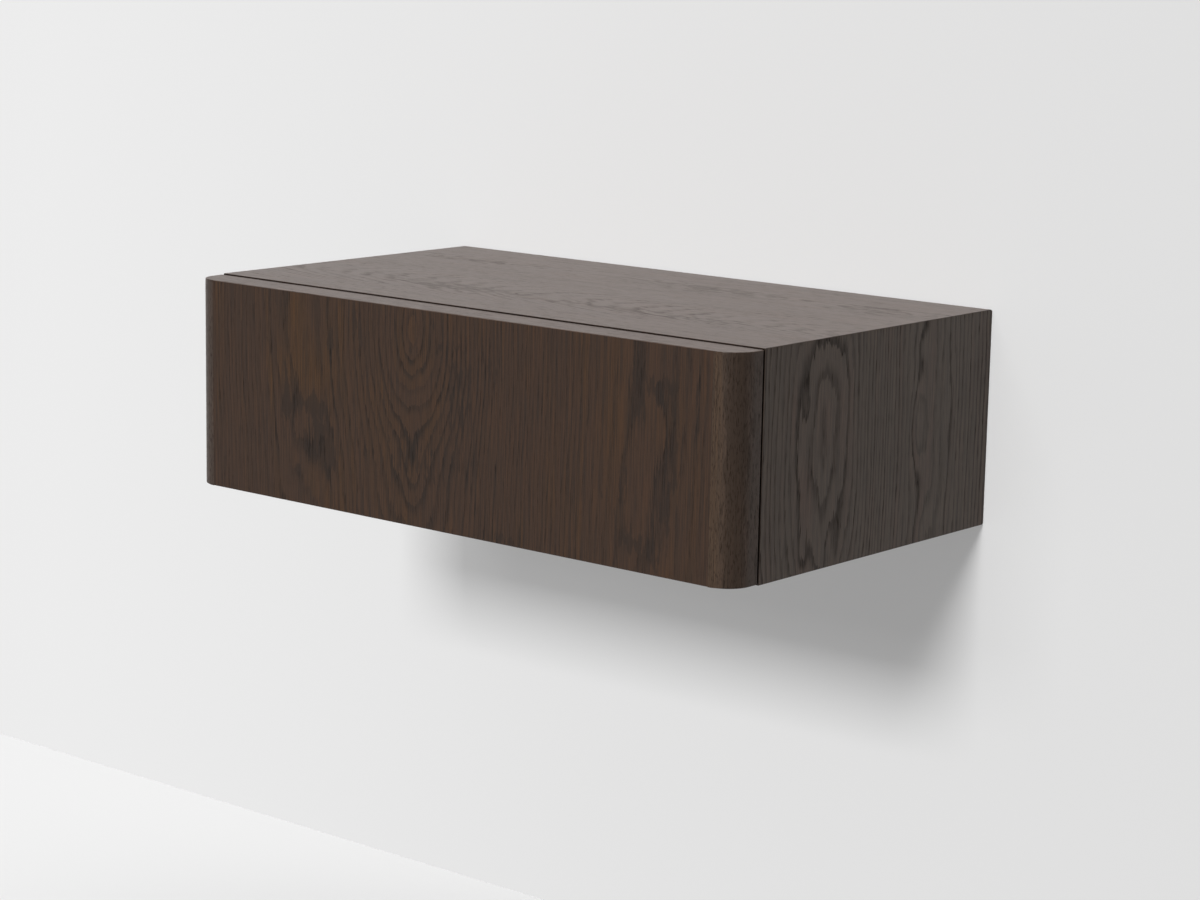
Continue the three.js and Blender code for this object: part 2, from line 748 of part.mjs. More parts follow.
function outerMember() {
  const holes = outerScrewLocals().map((matrix) => flushHole(CASE_SIDE_SCREW).applyMatrix4(matrix));
  return cut(channel(0, OUTER_MEMBER_WIDTH, outerHalf, SHEET_THICKNESS, memberRange), holes);
}

function intermediateMember() {
  const tip = INTERMEDIATE_TIP_WIDTH;
  return channel(intermediateWeb, tip, intermediateHalf, SHEET_THICKNESS, memberRange);
}

function innerMember() {
  const sheet = channel(SLIDE_SPACE_WIDTH, innerTip, innerHalf, SHEET_THICKNESS, memberRange);
  const holes = innerScrewLocals().map((matrix) => shankHole(DRAWER_SIDE_SCREW).applyMatrix4(matrix));
  return join([cut(sheet, holes), leverPin()]);
}

function slide({ name, side }) {
  const group = new THREE.Group();
  group.position.set(side * innerRight, 0, slideHeight);
  group.scale.x = -side;
  const outerCage = ballCage(
    SHEET_THICKNESS,
    OUTER_CAGE_TIP_WIDTH,
    intermediateHalf,
    OUTER_BALL_DISTANCE,
  );
  const innerCage = ballCage(
    intermediateWeb + SHEET_THICKNESS,
    INNER_CAGE_TIP_WIDTH,
    innerHalf,
    INNER_BALL_DISTANCE,
  );
  group.add(
    named(`${name}_slide_outer_member`, outerMember(), "slideSteel"),
    named(`${name}_slide_outer_cage`, outerCage, "cageSteel"),
    named(`${name}_slide_intermediate_member`, intermediateMember(), "slideSteel"),
    named(`${name}_slide_inner_cage`, innerCage, "cageSteel"),
    named(`${name}_slide_inner_member`, innerMember(), "slideSteel"),
    named(`${name}_release_lever`, lever(), "leverPlastic"),
    ...outerScrewLocals().map((matrix, i) =>
      screwMesh(`${name}_case_side_screw_${i + 1}`, flushScrew(CASE_SIDE_SCREW), matrix),
    ),
    ...innerScrewLocals().map((matrix, i) =>
      screwMesh(`${name}_drawer_side_screw_${i + 1}`, panScrew(DRAWER_SIDE_SCREW), matrix),
    ),
  );
  return group;
}

function groupOf(pieces) {
  const group = new THREE.Group();
  group.add(...pieces);
  return group;
}

const nightstand = groupOf([
  groupOf([...casePanels(), backPanel(), ...splines()]),
  groupOf([wallCleat(), caseCleat(), ...cleatScrews()]),
  groupOf([frontPanel(), ...sides.map(frontPost), ...bumpers()]),
  groupOf([...drawerBox(), ...frontScrews()]),
  groupOf(sides.map(slide)),
]);

export default nightstand;
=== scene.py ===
"""Floating nightstand in dark stained oak: its finished pieces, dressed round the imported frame.

Everything is in metres in the frame's own axes: X to the right as one faces the drawer,
Y into the wall, Z up. The wall's face is the plane y = 0.
"""

import json
import logging
from dataclasses import dataclass, field
from enum import Enum
from typing import Any, Callable, Sequence

import bmesh
import bpy
import numpy as np
from mathutils import Matrix, Vector

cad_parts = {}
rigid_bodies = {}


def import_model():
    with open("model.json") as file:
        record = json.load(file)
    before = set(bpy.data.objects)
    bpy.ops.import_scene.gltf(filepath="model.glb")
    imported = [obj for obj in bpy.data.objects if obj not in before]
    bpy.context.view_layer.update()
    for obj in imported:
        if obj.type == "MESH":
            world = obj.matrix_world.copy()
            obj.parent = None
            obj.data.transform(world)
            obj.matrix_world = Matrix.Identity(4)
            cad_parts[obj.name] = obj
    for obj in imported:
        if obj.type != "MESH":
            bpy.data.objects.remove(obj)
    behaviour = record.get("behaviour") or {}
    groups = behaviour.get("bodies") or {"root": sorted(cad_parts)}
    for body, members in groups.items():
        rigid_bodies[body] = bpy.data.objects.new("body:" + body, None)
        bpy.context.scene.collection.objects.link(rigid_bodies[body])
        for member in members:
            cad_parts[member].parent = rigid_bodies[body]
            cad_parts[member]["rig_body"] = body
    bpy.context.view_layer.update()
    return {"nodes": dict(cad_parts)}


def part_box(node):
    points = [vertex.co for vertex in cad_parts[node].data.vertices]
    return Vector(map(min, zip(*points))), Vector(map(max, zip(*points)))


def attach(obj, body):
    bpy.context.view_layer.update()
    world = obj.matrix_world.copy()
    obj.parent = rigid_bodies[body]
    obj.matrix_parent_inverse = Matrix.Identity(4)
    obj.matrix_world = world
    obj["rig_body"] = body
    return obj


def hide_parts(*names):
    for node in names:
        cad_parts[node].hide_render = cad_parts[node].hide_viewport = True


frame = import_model()

MM = 0.001
TURN = 2 * np.pi
WELD = MM / 100  # loose points of the frame nearer than this are one
FLAT = np.radians(0.5)  # its faces that meet at less than this are one
X, Y, Z = 0, 1, 2

log = logging.getLogger("nightstand")
Array = np.ndarray


def linear(hex_colour: str) -> tuple[float, float, float, float]:
    """Turns an sRGB hex colour to the linear values that a shader takes, by the sRGB curve.

    Args:
        hex_colour: Six hex digits, such as "4A3426".

    Returns:
        Linear red, green and blue, and an alpha of 1.
    """
    share = np.array([int(hex_colour[i : i + 2], 16) for i in (0, 2, 4)]) / 255
    value = np.where(share <= 0.04045, share / 12.92, ((share + 0.055) / 1.055) ** 2.4)
    return (*map(float, value), 1.0)


# Shapes


@dataclass
class Shape:
    """A closed surface: its points in metres and its faces as rows of point numbers."""

    points: Array
    faces: list[Sequence[int]]

    def __add__(self, other: "Shape") -> "Shape":
        """Puts both surfaces in one shape.

        Args:
            other: The second surface.

        Returns:
            The shape of both.
        """
        first = len(self.points)
        moved = [[first + i for i in face] for face in other.faces]
        return Shape(np.concatenate([self.points, other.points]), [*self.faces, *moved])


def unit(vectors: Array) -> Array:
    """The vectors along the last axis, each divided by its own length."""
    return vectors / np.linalg.norm(vectors, axis=-1, keepdims=True)


def lofted(rings: Array) -> Shape:
    """Joins a stack of rings to a closed solid.

    Point (s, n) is point n of ring s. Each face joins points n and n + 1 of rings s and s + 1,
    and the first and last ring are closed by one face each.

    Args:
        rings: Places as an array of rings, points and X, Y, Z.

    Returns:
        The solid's surface.
    """
    stack, count = rings.shape[:2]
    ring, place = np.meshgrid(np.arange(stack - 1), np.arange(count), indexing="ij")
    low, following = ring * count + place, ring * count + (place + 1) % count
    quads = np.stack([low, following, following + count, low + count], axis=-1)
    ends = [list(range(count))[::-1], list(range((stack - 1) * count, stack * count))]
    return Shape(rings.reshape(-1, 3), [*quads.reshape(-1, 4).tolist(), *ends])


def rounded(path: Array, radius: float, steps: int) -> Array:
    """Replaces each inner corner of an open path by an arc that touches both of its edges.

    With u and v the unit directions to the two neighbours and h half the angle between them,
    the arc's centre lies r / sin h along u + v, its ends lie r / tan h along u and v, and the
    points between them turn about the centre at an even rate.

    Args:
        path: The path's corners, two numbers each.
        radius: The arcs' radius.
        steps: How many points stand for each arc.

    Returns:
        The points of the rounded path.
    """
    corners = path[1:-1]
    u, v = unit(path[:-2] - corners), unit(path[2:] - corners)
    half = np.arccos((u * v).sum(axis=1, keepdims=True)) / 2
    centre = corners + unit(u + v) * radius / np.sin(half)
    first, last = (corners + way * radius / np.tan(half) - centre for way in (u, v))
    turn = np.pi - 2 * half[:, None]
    share = np.linspace(0, 1, steps)[None, :, None]
    arcs = np.sin((1 - share) * turn) * first[:, None] + np.sin(share * turn) * last[:, None]
    arcs = centre[:, None] + arcs / np.sin(turn)
    return np.concatenate([path[:1], arcs.reshape(-1, 2), path[-1:]])


def strip(path: Array, thickness: float) -> Array:
    """The outline of a sheet of even thickness along an open path.

    Each side is the path moved by half the thickness along its normal, which is the tangent
    between the neighbouring points turned by a quarter turn.

    Args:
        path: The sheet's middle line, two numbers a point.
        thickness: The sheet's thickness.

    Returns:
        One side of the sheet, then the other side back to the start.
    """
    tangent = unit(np.gradient(path, axis=0))
    normal = np.stack([-tangent[:, 1], tangent[:, 0]], axis=1) * thickness / 2
    return np.concatenate([path + normal, (path - normal)[::-1]])


def evenly(path: Array, spacing: float) -> Array:
    """Spaces the points of an open path evenly along it.

    Args:
        path: The path, two numbers a point.
        spacing: About how far apart the points come.

    Returns:
        The same path with its new points.
    """
    run = np.concatenate([[0], np.cumsum(np.linalg.norm(np.diff(path, axis=0), axis=1))])
    along = np.linspace(0, run[-1], int(run[-1] / spacing) + 1)
    return np.stack([np.interp(along, run, path[:, i]) for i in (0, 1)], axis=1)


def carried(outline: Array, ends: tuple[float, float]) -> Array:
    """Carries an outline straight along an axis.

    Args:
        outline: Closed outline, two numbers a point.
        ends: Where it starts and stops along the axis.

    Returns:
        Two rings as (along, first, second), ready for lofted().
    """
    return np.stack([np.insert(outline, 0, end, axis=1) for end in ends])


def turned(radii: Array, heights: Array, place: Sequence[float], axis: Sequence[float]) -> Shape:
    """Turns a profile about an axis.

    Point (i, j) stands radii[i, j] from the axis and heights[i, j] along it, at the share j of
    a full turn, so both arrays may also vary round the axis.

    Args:
        radii: Distance from the axis, profile points by steps round.
        heights: Distance along the axis, of the same shape.
        place: The axis's foot in metres.
        axis: The axis's direction.

    Returns:
        The turned solid, closed where the profile ends on the axis.
    """
    way = unit(np.asarray(axis, float))
    side = unit(np.cross(way, np.roll(way, 1) + np.array([0.0, 0.1, 0.2])))
    angle = np.linspace(0, TURN, radii.shape[1], endpoint=False)[None, :, None]
    round_axis = side * np.cos(angle) + np.cross(way, side) * np.sin(angle)
    points = np.asarray(place) + radii[..., None] * round_axis + heights[..., None] * way
    return lofted(points)


def balls(centres: Array, radius: float, steps: int = 10) -> Shape:
    """One ball at each centre: profile r = radius sin a, height = -radius cos a, for a to half a turn.

    Args:
        centres: The balls' middles, one a row.
        radius: Their radius.
        steps: How many steps go round a ball.

    Returns:
        The surface of all the balls.
    """
    a = np.linspace(0, np.pi, steps // 2 + 1)[:, None] * np.ones((1, steps))
    one = turned(radius * np.sin(a), -radius * np.cos(a), (0, 0, 0), (0, 0, 1))
    shift = len(one.points)
    points = (centres[:, None] + one.points[None]).reshape(-1, 3)
    faces = [[shift * k + i for i in face] for k in range(len(centres)) for face in one.faces]
    return Shape(points, faces)


def merged_copy(node: str) -> Shape:
    """A frame node's surface with its loose triangles merged and its flat faces joined.

    Args:
        node: The frame node's name.

    Returns:
        The node's shape, with one face for each flat side.
    """
    work = bmesh.new()
    work.from_mesh(frame["nodes"][node].data)
    bmesh.ops.remove_doubles(work, verts=work.verts, dist=WELD)
    bmesh.ops.dissolve_limit(work, angle_limit=FLAT, verts=work.verts, edges=work.edges)
    work.verts.ensure_lookup_table()
    points = np.array([v.co[:] for v in work.verts])
    faces = [[v.index for v in f.verts] for f in work.faces]
    work.free()
    return Shape(points, faces)


# Finishes


def add_node(
    tree: bpy.types.NodeTree, kind: str, inputs: dict | None = None, out: int | str = 0, **settings: Any
) -> Any:
    """Adds one shader node with its settings, values and links.

    Args:
        tree: The node tree.
        kind: The node's type without "ShaderNode".
        inputs: A value, or another node's output, for each input by name or number.
        out: The name or number of the output that is wanted.
        settings: The node's own properties. "stops" fills a colour ramp with pairs of a
            place and a linear colour or a plain level.

    Returns:
        That output of the new node, or None from a node without outputs.
    """
    made = tree.nodes.new("ShaderNode" + kind)
    stops = settings.pop("stops", [])
    for name, value in settings.items():
        setattr(made, name, value)
    for key, value in (inputs or {}).items():
        if isinstance(value, bpy.types.NodeSocket):
            tree.links.new(value, made.inputs[key])
        else:
            made.inputs[key].default_value = value
    for i, (place, colour) in enumerate(stops):
        slots = made.color_ramp.elements
        stop = slots[i] if i < 2 else slots.new(place)
        stop.position = place
        stop.color = colour if isinstance(colour, tuple) else (colour, colour, colour, 1.0)
    return made.outputs[out] if len(made.outputs) else None


@dataclass(frozen=True)
class Finish:
    """A finish by its name. Each kind of finish fills a node tree in its own way."""

    name: str

    def surface(self, tree: bpy.types.NodeTree) -> Any:
        """Adds the finish's nodes to an empty tree and gives the surface's output."""
        raise NotImplementedError

    def material(self) -> bpy.types.Material:
        """Builds the material.

        Returns:
            A new material with the finish's nodes.
        """
        material = bpy.data.materials.new(self.name)
        material.use_nodes = True
        tree = material.node_tree
        tree.nodes.clear()
        add_node(tree, "OutputMaterial", {"Surface": self.surface(tree)})
        return material


class Cut(Enum):
    """How the grain lies on a board: the turn, in degrees, that brings across to X and along to Y."""

    ACROSS_X_UP_Z = (-90, 0, 0)
    ACROSS_Y_UP_Z = (-90, -90, 0)
    ACROSS_Y_ALONG_X = (0, 0, -90)
    ACROSS_Z_ALONG_X = (-90, 0, -90)
    ACROSS_Z_ALONG_Y = (0, 90, 0)


@dataclass(frozen=True)
class Swell:
    """One soft hill: its place and half sizes across and along the grain in mm, and its height."""

    across: float
    along: float
    half_width: float
    half_length: float
    height: float


@dataclass(frozen=True)
class Slack:
    """Where the rings stand wider apart: place and half width in mm, and the slope taken away."""

    place: float
    half_width: float
    less: float

    def lag(self, at: float) -> float:
        """How many rings are missing at a place, counted from the slack's own middle."""
        return self.less * self.half_width * float(np.tanh((at - self.place) / self.half_width))


@dataclass(frozen=True)
class Streaks:
    """Noise drawn out along the grain: a streak's width and length in mm, and its finer layers."""

    width: float
    length: float
    layers: float = 2.0


WANDERING = Streaks(17, 110, 2.5)  # how the rings bend
RAGGED = Streaks(1.7, 30, 1.5)  # how a ring's edge runs in and out
FADING = Streaks(9, 45)  # where a porous line is faint
CLOUDED = Streaks(30, 120)  # where the stain is thin
FIBROUS = Streaks(1.2, 60)  # the wood between the lines
TOOTHED = Streaks(4.5, 20, 2.5)  # the border of a shaded place
RIGHT_THROUGH = 1e6  # mm, half a swell's size through the board


@dataclass(frozen=True)
class Figure:
    """How one leaf was cut from the log, by its count of rings from the heart.

    At a place, p is the count across the grain from the heart's line and q the count along it
    from the eye. The field is the length of (p, q) plus the swells, so the rings run straight
    far from the heart, nest into arches below the eye and close round a swell.
    """

    heart: float = -400.0  # mm across
    eye: float = 0.0  # mm along
    pitch_across: float = 4.5  # mm from ring to ring
    pitch_along: float = 200.0
    slack_across: tuple[Slack, ...] = ()
    slack_along: tuple[Slack, ...] = ()
    swells: tuple[Swell, ...] = ()  # heights in rings
    # These hills are the stain's own tone, but on the posts the warmed and shaded ones are a painted lit
    # band and painted shade.
    warmed: tuple[Swell, ...] = ()  # heights from 0 to 1
    cooled: tuple[Swell, ...] = ()
    shaded: tuple[Swell, ...] = ()  # where more stain went in, most of it in the porous lines
    lot: float = 0.0  # draws each ring's strength and warmth


@dataclass(frozen=True)
class Leaf:
    """Wood in a material's node tree, with its places in mm across, along and through the grain."""

    tree: bpy.types.NodeTree
    grain: Any  # the output with the place
    seeded: Any  # the place moved by the seed, for noise

    def counted(self, at: Any, start: float, pitch: float, slacks: tuple[Slack, ...]) -> Any:
        """Counts the rings from a start along one axis, fewer of them within each slack.

        Args:
            at: The output with the place in mm.
            start: Where the count is zero.
            pitch: The distance from ring to ring outside the slacks.
            slacks: Where the rings stand wider apart.

        Returns:
            The output with the count: (at - start) / pitch less each slack's lag.
        """
        base = -start / pitch + sum(slack.lag(start) for slack in slacks)
        count = add_node(self.tree, "Math", {0: at, 1: 1 / pitch, 2: base}, operation="MULTIPLY_ADD")
        for slack in slacks:
            near = {0: at, 1: 1 / slack.half_width, 2: -slack.place / slack.half_width}
            near = add_node(self.tree, "Math", near, operation="MULTIPLY_ADD")
            bend = add_node(self.tree, "Math", {0: near}, operation="TANH")
            less = {0: bend, 1: -slack.less * slack.half_width, 2: count}
            count = add_node(self.tree, "Math", less, operation="MULTIPLY_ADD")
        return count

    def hills(self, swells: tuple[Swell, ...], start: Any) -> Any:
        """Adds height * exp(-d * d) for each swell to start, d being the distance in half sizes.

        Args:
            swells: The hills.
            start: The output or number that they are added to.

        Returns:
            The output with the sum, or start where there is no swell.
        """
        total = start
        for hill in swells:
            foot, half = (hill.across, hill.along, 0), (hill.half_width, hill.half_length, RIGHT_THROUGH)
            at = {"Vector": self.grain, "Location": foot, "Scale": half}
            at = add_node(self.tree, "Mapping", at, vector_type="TEXTURE")
            squared = add_node(self.tree, "VectorMath", {0: at, 1: at}, "Value", operation="DOT_PRODUCT")
            falling = add_node(self.tree, "Math", {0: squared, 1: -1.0}, operation="MULTIPLY")
            hump = add_node(self.tree, "Math", {0: falling}, operation="EXPONENT")
            total = {0: hump, 1: hill.height, 2: total}
            total = add_node(self.tree, "Math", total, operation="MULTIPLY_ADD")
        return total

    def noise(self, streaks: Streaks) -> Any:
        """Draws streaks of noise, as deep through the board as they are wide.

        Args:
            streaks: Their size.

        Returns:
            The noise's output. Its mean is 0.5 and nearly all of it lies between 0.3 and 0.7, so
            the bounds that a map range sets on it tell how much of the wood it takes.
        """
        size = (1 / streaks.width, 1 / streaks.length, 1 / streaks.width)
        scaled = add_node(self.tree, "VectorMath", {0: self.seeded, 1: size}, operation="MULTIPLY")
        inputs = {"Vector": scaled, "Scale": 1.0, "Detail": streaks.layers, "Roughness": 0.55}
        return add_node(self.tree, "TexNoise", inputs, "Fac")


@dataclass(frozen=True)
class StainedOak(Finish):
    """Oak, dark stained and matt lacquered with open pores.

    The eye sees narrow porous lines, darkest and bluish where the stain pooled, between smooth
    brown bands, with jagged patches where the cut runs flat to the rings.
    """

    cut: Cut
    figure: Figure
    smooth: str  # latewood
    warm: str  # latewood where the stain is thin
    porous: str  # earlywood
    pore: str
    ring_contrast: float = 0.9
    early_share: float = 0.38
    wander: float = 0.7  # rings
    jag: float = 0.5  # rings
    pore_width: float = 0.9  # mm; a real pore of 0.3 mm would be too fine to show
    pore_length: float = 16.0  # mm
    open_pores: float = 0.18  # share of them outside the porous lines
    patchy: float = 0.5  # how far a porous line fades along its way
    pooled: float = 0.66  # the even tone of a shaded place, between the smooth and the porous
    teeth: float = 2.6  # how far a shaded place's border runs in and out along the grain
    roughness: float = 0.36
    specular: float = 0.4
    dull: float = 0.15  # share of the shine left in an open pore
    seed: float = 0.0

    def ring_count(self, leaf: Leaf) -> Any:
        """Counts the rings from the heart: the figure's field, bent and made ragged by noise.

        Args:
            leaf: The wood.

        Returns:
            The output with the count.
        """
        tree, figure = leaf.tree, self.figure
        parts = add_node(tree, "SeparateXYZ", {0: leaf.grain}).node.outputs
        across = leaf.counted(parts["X"], figure.heart, figure.pitch_across, figure.slack_across)
        along = leaf.counted(parts["Y"], figure.eye, figure.pitch_along, figure.slack_along)
        pair = add_node(tree, "CombineXYZ", {0: across, 1: along})
        count = add_node(tree, "VectorMath", {0: pair}, "Value", operation="LENGTH")
        count = leaf.hills(figure.swells, count)
        for streaks, reach in ((WANDERING, 2 * self.wander), (RAGGED, self.jag)):
            bent = {0: leaf.noise(streaks), 1: reach, 2: count}
            count = add_node(tree, "Math", bent, operation="MULTIPLY_ADD")
        return count

    def porous_lines(self, leaf: Leaf, count: Any, strength: Any) -> Any:
        """Draws each ring's porous line, sharp at its start, then fading over early_share.

        Args:
            leaf: The wood.
            count: The ring count, whose fraction is the place within the ring.
            strength: The ring's own draw from 0 to 1.

        Returns:
            The output with the line's depth, from 0 to 1.
        """
        tree, end = leaf.tree, self.early_share
        within = add_node(tree, "Math", {0: count}, operation="FRACT")
        stops = [(0.0, 0.2), (0.05, 1.0), (0.6 * end, 0.85), (end, 0.3), (1.4 * end, 0.0), (0.98, 0.0)]
        line = add_node(tree, "ValToRGB", {"Fac": within}, stops=stops)
        own = {"Value": strength, "To Min": 0.35 * self.ring_contrast, "To Max": self.ring_contrast}
        own = add_node(tree, "MapRange", own)
        line = add_node(tree, "Math", {0: line, 1: own}, operation="MULTIPLY")
        fade = {"Value": leaf.noise(FADING), "From Min": 0.3, "From Max": 0.62, "To Min": 1 - self.patchy}
        fade = add_node(tree, "MapRange", fade)
        return add_node(tree, "Math", {0: line, 1: fade}, operation="MULTIPLY")

    def shaded_lines(self, leaf: Leaf, line: Any) -> Any:
        """Deepens the lines where the figure is shaded, and floods the ground between them there.

        With s the shade, a line's depth is times 0.8 + 0.7 * s. Inside the toothed border, where
        s is past about a half, it goes three quarters of the way to the even tone of pooled stain,
        which on the posts is painted shade.

        Args:
            leaf: The wood.
            line: The output with the lines' depth.

        Returns:
            The output with the new depth.
        """
        tree = leaf.tree
        shade = leaf.hills(self.figure.shaded, 0.0)
        bold = add_node(tree, "Math", {0: shade, 1: 0.7, 2: 0.8}, operation="MULTIPLY_ADD")
        line = add_node(tree, "Math", {0: line, 1: bold}, operation="MULTIPLY")
        toothed = {0: leaf.noise(TOOTHED), 1: self.teeth, 2: shade}
        toothed = add_node(tree, "Math", toothed, operation="MULTIPLY_ADD")
        border = 0.45 + self.teeth / 2
        pool = {"Value": toothed, "From Min": border, "From Max": border + 0.25, "To Max": 0.75}
        pool = add_node(tree, "MapRange", pool)
        return add_node(tree, "Mix", {0: pool, 2: line, 3: self.pooled})

    def smooth_wood(self, leaf: Leaf, strength: Any) -> Any:
        """Colours the wood between the lines.

        It is warm in clouds, more so in some rings, and where the figure says so, and its fibres
        are darker.

        Args:
            leaf: The wood.
            strength: The ring's own draw from 0 to 1.

        Returns:
            The output with the colour.
        """
        tree = leaf.tree
        clouds = {"Value": leaf.noise(CLOUDED), "From Min": 0.35, "From Max": 0.75}
        clouds = add_node(tree, "MapRange", clouds)
        warmth = add_node(tree, "Math", {0: clouds, 1: strength}, operation="MULTIPLY")
        warmth = leaf.hills(self.figure.warmed, warmth)
        cold = leaf.hills(self.figure.cooled, 0.0)
        warmth = add_node(tree, "Math", {0: warmth, 1: cold}, operation="SUBTRACT", use_clamp=True)
        body = {0: warmth, 6: linear(self.smooth), 7: linear(self.warm)}
        body = add_node(tree, "Mix", body, 2, data_type="RGBA")
        fibres = {"Value": leaf.noise(FIBROUS), "From Min": 0.35, "From Max": 0.9}
        fibres = add_node(tree, "MapRange", fibres)
        return add_node(tree, "Mix", {0: fibres, 6: body, 7: linear(self.porous)}, 2, data_type="RGBA")

    def surface(self, tree: bpy.types.NodeTree) -> Any:
        """Adds the wood's nodes.

        The ring count's whole part names the ring, which draws its own strength, and its
        fraction is the place within the ring. Lines and open pores are sunk and duller.

        Args:
            tree: The empty tree.

        Returns:
            The surface's output.
        """
        place = add_node(tree, "TexCoord", out="Object")
        turn = tuple(np.radians(self.cut.value))
        grain = {"Vector": place, "Rotation": turn, "Scale": (1 / MM, 1 / MM, 1 / MM)}
        grain = add_node(tree, "Mapping", grain)
        seed = (self.seed, 2 * self.seed, 3 * self.seed)
        leaf = Leaf(tree, grain, add_node(tree, "VectorMath", {0: grain, 1: seed}, operation="ADD"))
        count = self.ring_count(leaf)
        ring = add_node(tree, "Math", {0: count}, operation="FLOOR")
        ring = add_node(tree, "Math", {0: ring, 1: self.figure.lot}, operation="ADD")
        strength = add_node(tree, "TexWhiteNoise", {"W": ring}, "Value", noise_dimensions="1D")
        line = self.porous_lines(leaf, count, strength)
        crowd = {0: line, 1: 0.8 - self.open_pores, 2: self.open_pores}
        crowd = add_node(tree, "Math", crowd, operation="MULTIPLY_ADD")
        pores = leaf.noise(Streaks(self.pore_width, self.pore_length))
        pores = add_node(tree, "MapRange", {"Value": pores, "From Min": 0.52, "From Max": 0.66})
        pores = add_node(tree, "Math", {0: pores, 1: crowd}, operation="MULTIPLY")
        body = self.smooth_wood(leaf, strength)
        if self.figure.shaded:
            line = self.shaded_lines(leaf, line)
        for share, colour in ((line, self.porous), (pores, self.pore)):
            body = add_node(tree, "Mix", {0: share, 6: body, 7: linear(colour)}, 2, data_type="RGBA")
        sunk = add_node(tree, "Math", {0: line, 1: 0.6, 2: pores}, operation="MULTIPLY_ADD")
        relief = {"Height": sunk, "Strength": 0.4, "Distance": 0.1 * MM}
        rough = {"Value": sunk, "To Min": self.roughness, "To Max": self.roughness + 0.15}
        shine = {"Value": sunk, "To Min": self.specular, "To Max": self.specular * self.dull}
        return add_node(tree, "BsdfPrincipled", {
            "Base Color": body,
            "Normal": add_node(tree, "Bump", relief, invert=True),
            "Roughness": add_node(tree, "MapRange", rough),
            "Specular IOR Level": add_node(tree, "MapRange", shine),
        })


def streaked(tree: bpy.types.NodeTree, place: Any, grain: tuple[float, float, float]) -> Any:
    """Noise on the place, with so many streaks a metre along X, Y and Z."""
    scaled = add_node(tree, "Mapping", {"Vector": place, "Scale": grain})
    return add_node(tree, "TexNoise", {"Vector": scaled, "Scale": 1.0, "Detail": 3.0}, "Fac")


@dataclass(frozen=True)
class Plywood(Finish):
    """Birch plywood, bare: pale faces, and edges striped by the layers that run across."""

    pale: str = "C9A878"
    brown: str = "8D6A45"
    ply: float = 1.5  # mm, one layer
    grain: tuple[float, float, float] = (12, 900, 700)  # streaks a metre along X, Y and Z
    roughness: float = 0.6

    def surface(self, tree: bpy.types.NodeTree) -> Any:
        """Adds the nodes: layer number = through the board over the ply, even ones pale.

        Args:
            tree: The empty tree.

        Returns:
            The surface's output.
        """
        place = add_node(tree, "TexCoord", out="Object")
        through = add_node(tree, "SeparateXYZ", {0: place}, "Y")
        pairs = add_node(tree, "Math", {0: through, 1: 1 / (2 * self.ply * MM)}, operation="MULTIPLY")
        share = add_node(tree, "Math", {0: pairs}, operation="FRACT")
        stops = [(0.0, 0.0), (0.48, 0.0), (0.5, 1.0), (0.98, 1.0)]
        stripes = add_node(tree, "ValToRGB", {"Fac": share}, stops=stops)
        stops = [(0.3, linear(self.brown)), (0.6, linear(self.pale))]
        body = add_node(tree, "ValToRGB", {"Fac": streaked(tree, place, self.grain)}, stops=stops)
        body = add_node(tree, "Mix", {0: stripes, 6: body, 7: linear(self.brown)}, 2, data_type="RGBA")
        return add_node(tree, "BsdfPrincipled", {"Base Color": body, "Roughness": self.roughness})


@dataclass(frozen=True)
class PlatedSteel(Finish):
    """Plated steel: a bright metal whose plating breaks the reflection up along the rolling."""

    colour: str
    roughness: float
    grain: tuple[float, float, float]  # streaks a metre along X, Y and Z
    relief: float = 0.02  # mm

    def surface(self, tree: bpy.types.NodeTree) -> Any:
        """Adds the nodes: streaked noise moves the roughness and the surface a little.

        Args:
            tree: The empty tree.

        Returns:
            The surface's output.
        """
        streak = streaked(tree, add_node(tree, "TexCoord", out="Object"), self.grain)
        rough = {"Value": streak, "To Min": self.roughness - 0.1, "To Max": self.roughness + 0.1}
        relief = {"Height": streak, "Strength": 0.3, "Distance": self.relief * MM}
        return add_node(tree, "BsdfPrincipled", {
            "Base Color": linear(self.colour),
            "Metallic": 1.0,
            "Normal": add_node(tree, "Bump", relief),
            "Roughness": add_node(tree, "MapRange", rough),
        })


@dataclass(frozen=True)
class MouldedPlastic(Finish):
    """A moulded plastic or rubber: one colour with the fine grain of its mould."""

    colour: str
    roughness: float
    grit: float = 0.4  # mm

    def surface(self, tree: bpy.types.NodeTree) -> Any:
        """Adds the nodes: fine noise, one cell a grit wide, raises the surface a little.

        Args:
            tree: The empty tree.

        Returns:
            The surface's output.
        """
        place = add_node(tree, "TexCoord", out="Object")
        mould = {"Vector": place, "Scale": 1 / (self.grit * MM), "Detail": 1.0}
        mould = add_node(tree, "TexNoise", mould, "Fac")
        relief = {"Height": mould, "Strength": 0.25, "Distance": 0.03 * MM}
        return add_node(tree, "BsdfPrincipled", {
            "Base Color": linear(self.colour),
            "Normal": add_node(tree, "Bump", relief),
            "Roughness": self.roughness,
        })


def seen(tree: bpy.types.NodeTree) -> Any:
    """The output that is 1 for a look by the camera, a mirror or through glass, else 0.

    Args:
        tree: The node tree.

    Returns:
        That output.
    """
    rays = add_node(tree, "LightPath").node.outputs
    look = rays["Is Camera Ray"]
    for kind in ("Is Glossy Ray", "Is Transmission Ray"):
        look = add_node(tree, "Math", {0: look, 1: rays[kind]}, operation="MAXIMUM")
    return look


